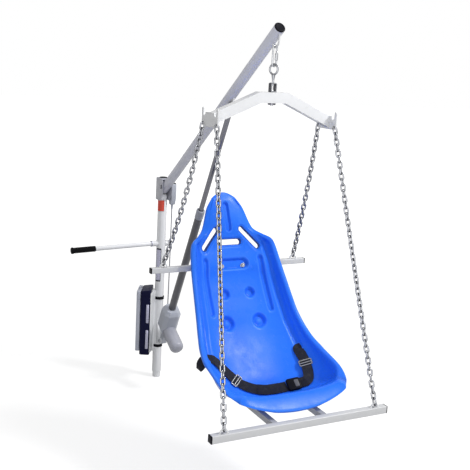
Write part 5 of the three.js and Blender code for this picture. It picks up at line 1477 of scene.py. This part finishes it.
# Stations from the head to the front lip. Each gives the centre line's reach and height, then
# the outer edge's half width, reach and height, as shares of the seat's sizes.
SEAT_STATION_SHARES = (
    (0.012, 0.020, 0.200, 0.015, 0.034), (0.031, 0.047, 0.297, 0.037, 0.086),
    (0.068, 0.118, 0.355, 0.060, 0.144), (0.098, 0.182, 0.394, 0.077, 0.186),
    (0.111, 0.221, 0.445, 0.098, 0.219), (0.118, 0.246, 0.548, 0.139, 0.242),
    (0.126, 0.272, 0.655, 0.168, 0.263), (0.143, 0.317, 0.710, 0.188, 0.304),
    (0.188, 0.406, 0.755, 0.242, 0.406), (0.208, 0.477, 0.784, 0.298, 0.494),
    (0.262, 0.571, 0.813, 0.360, 0.588), (0.317, 0.656, 0.839, 0.410, 0.660),
    (0.379, 0.750, 0.884, 0.476, 0.733), (0.447, 0.836, 0.932, 0.547, 0.790),
    (0.522, 0.913, 0.971, 0.634, 0.827), (0.609, 0.996, 0.987, 0.714, 0.849),
    (0.690, 1.0366, 0.990, 0.788, 0.868), (0.775, 1.022, 0.976, 0.843, 0.886),
    (0.850, 0.972, 0.937, 0.892, 0.905), (0.900, 0.942, 0.890, 0.922, 0.919),
    (0.925, 0.938, 0.864, 0.938, 0.928), (0.938, 0.944, 0.846, 0.948, 0.935),
)
BELT_SLOT_SHARES = (0.645, 0.57)
BELT_SLOT_LEAN = radians(-59)
SEAT_STEP = 0.01
SEAT_SQUARENESS = 2.7
HEAD_LIP_SHARE = 0.6
X_ROW = np.array((1.0, 0.0, 0.0))


def unit_rows(vectors):
    """Rows of an array at length one."""
    return vectors / np.maximum(np.linalg.norm(vectors, axis=-1, keepdims=True), TINY)


def seat_lines(s, share):
    """The centre line and the right edge at each share of the way to the front."""
    table = np.array(SEAT_STATION_SHARES)
    last = len(table) - 1
    at = np.clip(share, 0, 1) * last
    i = np.minimum(np.floor(at).astype(int), last - 1)
    t = (at - i)[:, None]
    p0, p1, p2, p3 = (table[np.clip(i + k, 0, last)] for k in (-1, 0, 1, 2))
    row = (2 * p1 + (p2 - p0) * t + (2 * p0 - 5 * p1 + 4 * p2 - p3) * t ** 2
           + (3 * p1 - p0 - 3 * p2 + p3) * t ** 3) / 2
    depth, height = s.front_reach - s.top_reach, s.top_height - s.front_height
    centre = np.stack([0 * at, -(s.top_reach + row[:, 0] * depth),
                       s.top_height - row[:, 1] * height], 1)
    edge = np.stack([row[:, 2] * s.half_width, -(s.top_reach + row[:, 3] * depth),
                     s.top_height - row[:, 4] * height], 1)
    return centre, edge


def seat_curves(s, share):
    """Centre line, right edge, lip crest and the direction towards the sitter."""
    centre, edge = seat_lines(s, share)
    low = np.clip(share - SEAT_STEP, 0, 1 - 2 * SEAT_STEP)
    centre_low, edge_low = seat_lines(s, low)
    centre_high, edge_high = seat_lines(s, low + 2 * SEAT_STEP)
    up = unit_rows(np.cross(centre_high - centre_low, X_ROW))
    out = unit_rows(np.cross(up, edge_high - edge_low))
    ahead = np.maximum(-out[:, 1:2], 0) ** 2
    head = HEAD_LIP_SHARE + (1 - HEAD_LIP_SHARE) * np.minimum(share / HEAD_LIP_SHARE, 1)[:, None]
    width = head * s.lip_width + (s.front_lip_width - s.lip_width) * ahead
    rise = head * s.lip_rise + (s.front_lip_rise - s.lip_rise) * ahead
    return centre, edge, edge - out * width + up * rise, up


def seat_points(s, share, across):
    """Points of the inner face for shares by columns."""
    centre, _, crest, _ = seat_curves(s, np.clip(share, 0, 1))
    angle = np.clip(np.abs(across), 0, 1) * pi / 2
    power = 2 / (2 + (SEAT_SQUARENESS - 2) * np.sin(pi * np.clip(share, 0, 1)))[:, None]
    out = np.sin(angle)[None, :] ** power
    lift = 1 - np.maximum(np.cos(angle), 0)[None, :] ** power
    middle, side = centre[:, None, :], crest[:, None, :]
    grid = middle + (side - middle) * lift[..., None]
    grid[..., 0] = np.sign(across)[None, :] * crest[:, :1] * out
    return grid


def seat_normals(s, share, across):
    """Directions square to the inner face, towards the sitter."""
    low = np.clip(share - SEAT_STEP, 0, 1 - 2 * SEAT_STEP)
    left = np.clip(across - SEAT_STEP, -1, 1 - 2 * SEAT_STEP)
    along = seat_points(s, low + 2 * SEAT_STEP, across) - seat_points(s, low, across)
    side = seat_points(s, share, left + 2 * SEAT_STEP) - seat_points(s, share, left)
    return unit_rows(np.cross(along, side))


def seat_spot(s, share, across):
    """One point of the inner face and its normal."""
    share, across = np.array([share]), np.array([across])
    return Vector(seat_points(s, share, across)[0, 0]), Vector(seat_normals(s, share, across)[0, 0])


def line_distance(points, path):
    """Distance of each point from a line of points."""
    best = np.full(len(points), np.inf)
    for a, b in zip(path[:-1], path[1:]):
        span = b - a
        t = np.clip((points - a) @ span / max(span @ span, TINY), 0, 1)
        best = np.minimum(best, np.linalg.norm(points - a - t[:, None] * span, axis=1))
    return best


def step_down(distance, half, soft):
    """One inside a half width and zero outside, with a soft edge."""
    t = np.clip((half + soft - distance) / (2 * soft), 0, 1)
    return t * t * (3 - 2 * t)


class SeatFace:
    """Finds the sitter's side of the seat from in front."""

    def __init__(self, s, rows=300, columns=240):
        grid = seat_points(s, np.linspace(0, 1, rows), np.linspace(-1, 1, columns))
        self.points = grid.reshape(-1, 3)
        self.tree = KDTree(len(self.points))
        for i, (x, _, z) in enumerate(self.points):
            self.tree.insert((x, z, 0), i)
        self.tree.balance()

    def at(self, x, z):
        """The face's point behind a place given by x and z."""
        total, weight = np.zeros(3), 0
        for _, i, away in self.tree.find_n((x, z, 0), 4):
            share = 1 / (away + MERGE)
            total += self.points[i] * share
            weight += share
        return total / weight

    def backward(self, x, z, step=0.01):
        """The direction away from the sitter at a place."""
        up = Vector(self.at(x, z + step)) - Vector(self.at(x, z - step))
        side = Vector(self.at(x + step, z)) - Vector(self.at(x - step, z))
        return up.cross(side).normalized()


class MakeSeat(bpy.types.Operator):
    """Make the moulded bucket seat"""
    bl_idname = "lift.make_seat"
    bl_label = "Seat"
    bl_options = {"UNDO"}

    bolt_recess = 0.016
    # Each relief has its line in shares of the way to the front and across, its half width, the
    # softness of its edge and its depth away from the sitter. One off the middle has a mirrored twin.
    reliefs = (
        (((0.066, 0), (0.172, 0)), 0.0130, 0.0045, 0.012),
        (((0.381, -0.105), (0.381, 0.105)), 0.0245, 0.0055, bolt_recess),
        (((0.475, 0.12),), 0.0225, 0.0070, 0.017),
        (((0.555, 0.15),), 0.0315, 0.0075, 0.018),
        (((0.555, 0.15),), 0.0125, 0.0045, -0.008),
        (((0.367, 0.42), (0.42, 0.407), (0.475, 0.393), (0.525, 0.38)), 0.0115, 0.0050, 0.012),
        (((0.31, 0.66), (0.39, 0.65), (0.47, 0.64), (0.555, 0.62), (0.64, 0.60)), 0.012, 0.012, 0.011),
    )
    # Back slots as ends in shares of the half width and of the height
    slots = (
        ((-0.155, 0.285), (0.155, 0.285)), ((0.215, 0.214), (0.445, 0.311)),
        ((-0.215, 0.214), (-0.445, 0.311)),
    )
    slot_rim = 0.011
    slot_dip = 0.005
    wall = 0.003
    wall_depth = 0.024
    belt_slot = (0.009, 0.056)
    belt_slot_reach = 0.0775
    back_cut = (-1.05, -0.70)
    bolt_half = 0.056
    bolt_hole = 0.0053
    lip_angles = np.linspace(80, 0, 9)
    skirt_shares = (0.34, 0.67, 1)
    # The crest is rounded more from this reach on, over this far, by this share more.
    front_soft = (1.20, 0.25, 1.8)
    smooth_rounds = 60
    smooth_pull = 0.9
    smooth_spread = 3.4

    def slot_ends(self, s):
        """The slots' ends in metres, as x and z."""
        height = s.top_height - s.front_height
        return [[np.array((x * s.half_width, s.top_height - z * height)) for x, z in ends]
                for ends in self.slots]

    def columns(self, count):
        """Column places that lie evenly along the section."""
        fine = np.linspace(0, 1, 4000)
        power = 2 / SEAT_SQUARENESS
        x = 2.0 * np.sin(fine * pi / 2) ** power
        z = 1 - np.cos(fine * pi / 2) ** power
        walk = np.concatenate([[0], np.cumsum(np.hypot(np.diff(x), np.diff(z)))])
        right = np.interp(np.linspace(0, walk[-1], count // 2 + 1), walk, fine)
        return np.concatenate([-right[:0:-1], right])

    def relief(self, s, points):
        """How far each point is pushed away from the sitter."""
        depth = np.zeros(len(points))
        for line, half, soft, deep in self.reliefs:
            for side in (1, -1) if line[0][1] > 0 else (1,):
                path = [np.array(seat_spot(s, share, side * across)[0]) for share, across in line]
                if len(path) == 1:
                    path *= 2
                depth += deep * step_down(line_distance(points, path), half, soft)
        flat = points[:, [0, 2]]
        for ends in self.slot_ends(s):
            away = line_distance(flat, ends) - s.slot_width / 2
            depth += self.slot_dip * step_down(away, self.slot_rim / 2, self.slot_rim / 2)
        return depth

    def end_edge(self, edge, across, middle):
        """The outer edge across the head or the front."""
        angle = across * pi / 2
        y = middle[1] + (edge[1] - middle[1]) * (1 - np.cos(angle))
        z = middle[2] + (edge[2] - middle[2]) * np.sin(angle) ** 2
        return np.stack([edge[0] * np.sin(angle), y, z], 1)

    def sheet(self, s, rows, columns):
        """Inner face, normals and the outer edge of each border point, in order round."""
        grid = seat_points(s, rows, columns)
        normals = seat_normals(s, rows, columns)
        _, edge, _, up = seat_curves(s, rows)
        head = self.end_edge(edge[0], columns, (0, -s.top_reach, s.top_height))
        front = self.end_edge(edge[-1], columns, (0, -s.front_reach, s.front_height))
        last_row, last_column = len(rows) - 1, len(columns) - 1
        border = [(0, j) for j in range(last_column + 1)]
        border += [(i, last_column) for i in range(1, last_row + 1)]
        border += [(last_row, j) for j in range(last_column - 1, -1, -1)]
        border += [(i, 0) for i in range(last_row - 1, 0, -1)]
        mirror = np.array((-1, 1, 1))
        outer, ups = [], []
        for i, j in border:
            if i == 0:
                outer.append(head[j])
            elif i == last_row:
                outer.append(front[j])
            else:
                outer.append(edge[i] if j else edge[i] * mirror)
            ups.append(up[i])
        return grid, normals, border, np.array(outer), np.array(ups)

    def rings(self, s, crest, outer, up, depth):
        """The lip's rings from the crest over and down to the skirt."""
        away = outer - crest
        rise = -np.sum(away * up, 1, keepdims=True)
        away = away + up * rise
        width = np.linalg.norm(away, axis=1, keepdims=True)
        way = away / np.maximum(width, TINY)
        out = []
        for turned in self.lip_angles:
            angle = radians(turned)
            out.append(crest + way * (width - depth) * cos(angle)
                       + up * ((rise - depth) * sin(angle) - rise))
        brim = out[-1]
        return out + [brim - up * s.lip_skirt * share for share in self.skirt_shares]

    def soften(self, points, faces, crest, soft):
        """Rounds the crest by evening out the points near it, most at the front."""
        tree = KDTree(len(crest))
        for i, p in enumerate(crest):
            tree.insert(p, i)
        tree.balance()
        away = np.array([tree.find(p)[2] for p in points])
        start, span, more = self.front_soft
        reach = soft * (1 + np.clip((-points[:, 1] - start) / span, 0, 1) * more)
        weight = np.clip(1 - away / reach, 0, 1)[:, None] * self.smooth_pull
        faces = np.array(faces)
        edges = np.concatenate([faces[:, [k, (k + 1) % 4]] for k in range(4)])
        edges = np.unique(np.sort(edges, 1), axis=0)
        edges = edges[(away[edges] < soft * self.smooth_spread).any(1)]
        count = np.bincount(edges.ravel(), minlength=len(points))[:, None]
        for _ in range(self.smooth_rounds):
            total = np.zeros_like(points)
            for axis in range(3):
                total[:, axis] += np.bincount(edges[:, 0], points[edges[:, 1], axis], len(points))
                total[:, axis] += np.bincount(edges[:, 1], points[edges[:, 0], axis], len(points))
            mean = np.where(count > 0, total / np.maximum(count, 1), points)
            points = points + (mean - points) * weight
        return points

    def shell(self, s):
        """Points and faces of the whole shell."""
        rows = np.linspace(0, 1, s.rows + 1)
        columns = self.columns(s.columns)
        grid, normals, border, outer, ups = self.sheet(s, rows, columns)
        shape = grid.shape
        flat = grid.reshape(-1, 3)
        push = self.relief(s, flat)[:, None] * normals.reshape(-1, 3)
        index = np.array([i * shape[1] + j for i, j in border])
        layers = []
        for depth in (0, s.thickness):
            face = flat - normals.reshape(-1, 3) * depth - push
            crest = flat[index]
            layers.append(np.concatenate([face, *self.rings(s, crest, outer, ups, depth)]))
        size, count = len(layers[0]), len(border)
        inside = np.arange(flat.shape[0]).reshape(shape[:2])
        a, b = inside[:-1, :-1].ravel(), inside[1:, :-1].ravel()
        c, d = inside[1:, 1:].ravel(), inside[:-1, 1:].ravel()
        quads = [np.stack([a, b, c, d], 1)]
        lip_rings = len(self.lip_angles) + len(self.skirt_shares)
        ring = [index] + [len(flat) + k * count + np.arange(count) for k in range(lip_rings)]
        for here, there in zip(ring, ring[1:]):
            quads.append(np.stack([here, np.roll(here, -1), np.roll(there, -1), there], 1))
        front = np.concatenate(quads)
        back = front[:, ::-1] + size
        last = ring[-1]
        rim = np.stack([last, np.roll(last, -1), np.roll(last, -1) + size, last + size], 1)
        points = np.concatenate(layers)
        faces = np.concatenate([front, back, rim])
        return self.soften(points, faces, flat[index], s.crest_soft), faces

    def slot_outline(self, ends, half, sides=14):
        """A slot's outline with some points on its long sides."""
        (x1, z1), (x2, z2) = ends
        lean = np.degrees(atan2(z2 - z1, x2 - x1))
        first = arc(x1, z1, half, lean + 90, lean + 270, sides)
        second = arc(x2, z2, half, lean - 90, lean + 90, sides)
        out = []
        for run, follows in ((first, second[0]), (second, first[0])):
            out += run
            out += [tuple(Vector(run[-1]).lerp(Vector(follows), k / sides)) for k in range(1, sides)]
        return out

    def slot_walls(self, s):
        """The turned-back wall round each back slot."""
        shapes = []
        for ends in self.slot_ends(s):
            inner = self.slot_outline(ends, s.slot_width / 2 - self.wall * 0.6)
            outer = self.slot_outline(ends, s.slot_width / 2 + self.wall * 0.4)
            depths = [self.face.at(x, z)[1] for x, z in outer]
            back = self.face.backward(*((ends[0] + ends[1]) / 2))
            rings = []
            for outline, reach in ((inner, self.wall * 0.4), (inner, self.wall_depth),
                                   (outer, self.wall_depth), (outer, self.wall * 0.4)):
                rings.append([Vector((x, y + self.slot_dip * 0.8, z)) + back * reach
                              for (x, z), y in zip(outline, depths)])
            shapes.append(loft(rings, True))
        return shapes

    def bolts(self, bars):
        """Both bolts, seated on the recess, that hold the seat to the back bar."""
        for side, label in ((-1, "left"), (1, "right")):
            x, z = side * self.bolt_half, bars.back_place[2]
            y = self.face.at(x, z)[1] + self.bolt_recess
            deep = bars.back_place[1] - y
            profile = [(CORE, -0.0078), (0.0066, -0.0078), (0.0078, -0.0066), (0.0082, -0.0018),
                       (0.0125, -0.0016), (0.0125, 0), (0.005, 0), (0.005, deep), (CORE, deep)]
            bolt = lathe(profile, frame_of((x, y, z), Y, X), sides=36, corner=FINE_CORNER)
            refined(f"seat_bolt_{label}", [bolt], zinc_plating())

    def cutter(self, s, bars):
        """One object with every slot and hole as a prism."""
        shapes = []
        for ends in self.slot_ends(s):
            outline = self.slot_outline(ends, s.slot_width / 2)
            shapes.append(loft([[(x, y, z) for x, z in outline] for y in self.back_cut]))
        lean = Matrix.Rotation(BELT_SLOT_LEAN, 4, "X")
        share, across = BELT_SLOT_SHARES
        for side in (-1, 1):
            spot, _ = seat_spot(s, share, side * across)
            outline = rectangle(*self.belt_slot, 0.004, 6)
            body = block(outline, [(-self.belt_slot_reach, 0), (self.belt_slot_reach, 0)])
            upright = Matrix.Translation(spot) @ lean @ frame_of((0, 0, 0), X, Y)
            shapes.append(moved(body, upright))
            bolt = frame_of((side * self.bolt_half, *bars.back_place[1:]), -Y, X)
            shapes.append(lathe([(self.bolt_hole, 0), (self.bolt_hole, 0.20)], bolt, sides=24))
        mesh = bpy.data.meshes.new("seat_cutter")
        fill_mesh(mesh, shapes)
        obj = bpy.data.objects.new("seat_cutter", mesh)
        linked(obj)
        return obj

    def execute(self, context):
        """Makes the seat shell and cuts its slots."""
        scene = context.scene
        s = scene.lift_seat
        self.face = SeatFace(s)
        points, faces = self.shell(s)
        mesh = bpy.data.meshes.new("seat_shell_fine")
        fill_mesh(mesh, [(points.tolist(), faces.tolist())])
        obj = bpy.data.objects.new("seat_shell_fine", mesh)
        settled(obj, seat_plastic(), ["seat_shell"])
        cutter = self.cutter(s, scene.lift_bars)
        cut = obj.modifiers.new("slots", "BOOLEAN")
        cut.operation, cut.solver, cut.object = "DIFFERENCE", "EXACT", cutter
        ready = obj.evaluated_get(bpy.context.evaluated_depsgraph_get())
        whole = bpy.data.meshes.new_from_object(ready)
        obj.modifiers.clear()
        obj.data = whole
        smoothed(whole, radians(50))
        bpy.data.objects.remove(cutter)
        # The slot walls wear the seat's blue darkened as painted shade.
        piece("seat_slot_walls", self.slot_walls(s), slot_plastic(), body="carrier")
        self.bolts(scene.lift_bars)
        return {"FINISHED"}


class MakeBelt(bpy.types.Operator):
    """Make the lap belt, its adjusters and its buckle"""
    bl_idname = "lift.make_belt"
    bl_label = "Belt"
    bl_options = {"UNDO"}

    # Places on the seat: across from the middle, along from the head, then how far it faces out
    left_shares = ((-0.52, 0.652, 0.0), (-0.41, 0.670, 0.0), (-0.31, 0.692, 0.15), (-0.21, 0.716, 0.35),
                   (-0.11, 0.736, 0.6), (-0.02, 0.752, 0.7), (0.07, 0.756, 0.75), (0.17, 0.754, 0.75))
    right_shares = ((0.55, 0.652, 0.1), (0.56, 0.672, 0.3), (0.56, 0.694, 0.45), (0.53, 0.722, 0.55),
                    (0.48, 0.746, 0.7), (0.42, 0.758, 0.75), (0.34, 0.755, 0.75))
    buckle_shares = (0.755, 0.25, 0.75)
    outward = Vector((-0.15, -0.72, 0.68)).normalized()
    steps = 150
    slide_wire = 0.0030
    fold_span = (0.74, 0.93)

    def seated(self, seat, share, across, level, width, rise):
        """A place over the seat with its lower edge resting, and the way it faces."""
        spot, normal = seat_spot(seat, share, across)
        face = normal.lerp(self.outward, level).normalized()
        return spot + normal * (rise + normal.cross(face).length * width / 2), face

    def strap(self, name, route, faces, s, node):
        """A woven strap with rounded edges and its own coordinates."""
        line, looks = curve_points(route, self.steps), curve_points(faces, self.steps)
        line = [Vector(p) for p in line]
        section = rectangle(s.width, s.thickness, s.thickness * 0.45, 3)
        section = [p for a, b in zip(section, section[1:] + section[:1])
                   for p in (a, tuple(Vector(a).lerp(Vector(b), 0.5)))]
        rings, walk = [], [0.0]
        for i, here in enumerate(line):
            along = (line[min(i + 1, self.steps)] - line[max(i - 1, 0)]).normalized()
            up = Vector(looks[i])
            up = (up - along * up.dot(along)).normalized()
            across = up.cross(along)
            walk.append(walk[-1] + (line[min(i + 1, self.steps)] - here).length)
            crown = 0.0006 * sin(i * 0.11)
            rings.append([here + across * a + up * (b + crown * cos(a / s.width * pi * 3))
                          for a, b in section])
        obj = piece(name, [loft(rings)], belt_webbing(), [node] if node else [], "carrier")
        self.coordinates(obj.data, section, walk)
        return line, looks

    def coordinates(self, mesh, section, walk):
        """Metres along and across the strap as its texture coordinates."""
        layer = mesh.uv_layers.new(name="strap")
        size = len(section)
        for loop in mesh.loops:
            i, j = divmod(loop.vertex_index, size)
            layer.data[loop.index].uv = (walk[min(i, len(walk) - 1)], section[j][0])

    def adjuster(self, name, line, looks, at, s):
        """A slide on the strap, with a bar across its middle."""
        i = int(at * self.steps)
        along = (line[i + 1] - line[i - 1]).normalized()
        up = Vector(looks[i])
        up = (up - along * up.dot(along)).normalized()
        across = up.cross(along)
        spot = line[i] + up * 0.001
        wire = circle(self.slide_wire, 12)
        loop = rectangle(s.width + 0.010, 0.026, 0.005, 6)
        path = [spot + across * a + along * b for a, b in loop]
        bar = [spot + across * x + along * 0.002 + up * 0.0028
               for x in (-s.width / 2 - 0.004, s.width / 2 + 0.004)]
        piece(name, [sweep(path, up, wire, True), sweep(bar, up, wire)], slider_steel(),
              body="carrier")

    def buckle(self, seat, s):
        """The buckle with its button."""
        share, across, level = self.buckle_shares
        long, width, height = s.buckle
        centre, up = self.seated(seat, share, across, level, width, s.lift)
        centre += up * height * 0.3
        base = frame_of(centre, up, X)
        top = height / 2
        body = block(rectangle(long, width, 0.009, 6), soft_levels(-top, top, 0.004))
        refined("belt_buckle", [moved(body, base)], black_plastic())
        button = block(rectangle(0.020, 0.034, 0.004, 5),
                       [(top - 0.001, 0), (top + 0.0008, 0), (top + 0.0014, 0.001)])
        piece("buckle_button", [moved(button, base @ Matrix.Translation((0.012, 0, 0)))],
              charcoal_coat(), body="carrier")

    def execute(self, context):
        """Makes both halves of the belt and the buckle."""
        scene = context.scene
        s, seat = scene.lift_belt, scene.lift_seat
        rise = s.lift + s.thickness / 2
        halves = (("belt_left", -1, self.left_shares, 0.56), ("belt_right", 1, self.right_shares, 0.55))
        for node, side, shares, at in halves:
            places = [self.seated(seat, share, across, level, s.width, rise)
                      for across, share, level in shares]
            centres, faces = zip(*places)
            slot, _ = seat_spot(seat, BELT_SLOT_SHARES[0], side * BELT_SLOT_SHARES[1])
            look = Matrix.Rotation(BELT_SLOT_LEAN, 3, "X") @ -Y
            outside = slot + X * side * s.tail / 2
            tail = outside + Vector((side * s.tail * 0.36, 0, -s.tail * 0.6))
            line, looks = self.strap(node + "_webbing", [tail, outside, slot, *centres],
                                     [Z, look, look, *faces], s, node)
            self.adjuster(node + "_slide", line, looks, at, s)
            if side < 0:
                folded = range(*(int(self.steps * share) for share in self.fold_span), 3)
                run = [line[i] + Vector(looks[i]).normalized() * s.thickness
                       * (1.15 + 0.25 * sin(i * 0.5)) for i in folded]
                self.strap("belt_fold", run, [looks[i] for i in folded], s, None)
        self.buckle(seat, s)
        return {"FINISHED"}


OPERATORS = (MakeStage, MakeCable, MakeMast, MakeHandle, MakePower, MakeHandset, MakeDrive, MakeBoom,
             MakeHanger, MakeChains, MakeBars, MakeSeat, MakeBelt)
SETTINGS = {
    "lift_stage": StageSettings, "lift_finish": FinishSettings, "lift_mast": MastSettings,
    "lift_handle": HandleSettings, "lift_power": PowerSettings, "lift_drive": DriveSettings,
    "lift_boom": BoomSettings, "lift_chains": ChainSettings, "lift_bars": BarSettings,
    "lift_seat": SeatSettings, "lift_belt": BeltSettings,
}


class LiftPanel(bpy.types.Panel):
    """Sizes, colours and buttons of the lift."""
    bl_idname = "VIEW3D_PT_pool_lift"
    bl_label = "Pool Lift"
    bl_space_type = "VIEW_3D"
    bl_region_type = "UI"
    bl_category = "Pool Lift"

    def draw(self, context):
        """Lists the operators, then each group of settings."""
        for operator in OPERATORS:
            self.layout.operator(operator.bl_idname)
        for name, group in SETTINGS.items():
            box = self.layout.box()
            for prop in group.__annotations__:
                box.prop(getattr(context.scene, name), prop)


def register():
    """Registers the classes and hangs the settings on the scene."""
    for group in SETTINGS.values():
        bpy.utils.register_class(group)
    for operator in (*OPERATORS, LiftPanel):
        bpy.utils.register_class(operator)
    for name, group in SETTINGS.items():
        setattr(bpy.types.Scene, name, PointerProperty(type=group))


def unregister():
    """Takes the settings and classes away again."""
    for name in SETTINGS:
        delattr(bpy.types.Scene, name)
    for group in (LiftPanel, *reversed(OPERATORS), *SETTINGS.values()):
        bpy.utils.unregister_class(group)


def main():
    """Builds everything."""
    register()
    bpy.ops.lift.make_stage()
    bpy.ops.lift.make_cable()
    bpy.ops.lift.make_mast()
    bpy.ops.lift.make_handle()
    bpy.ops.lift.make_power()
    bpy.ops.lift.make_handset()
    bpy.ops.lift.make_drive()
    bpy.ops.lift.make_boom()
    bpy.ops.lift.make_hanger()
    bpy.ops.lift.make_chains()
    bpy.ops.lift.make_bars()
    bpy.ops.lift.make_seat()
    bpy.ops.lift.make_belt()


if __name__ == "__main__":
    main()
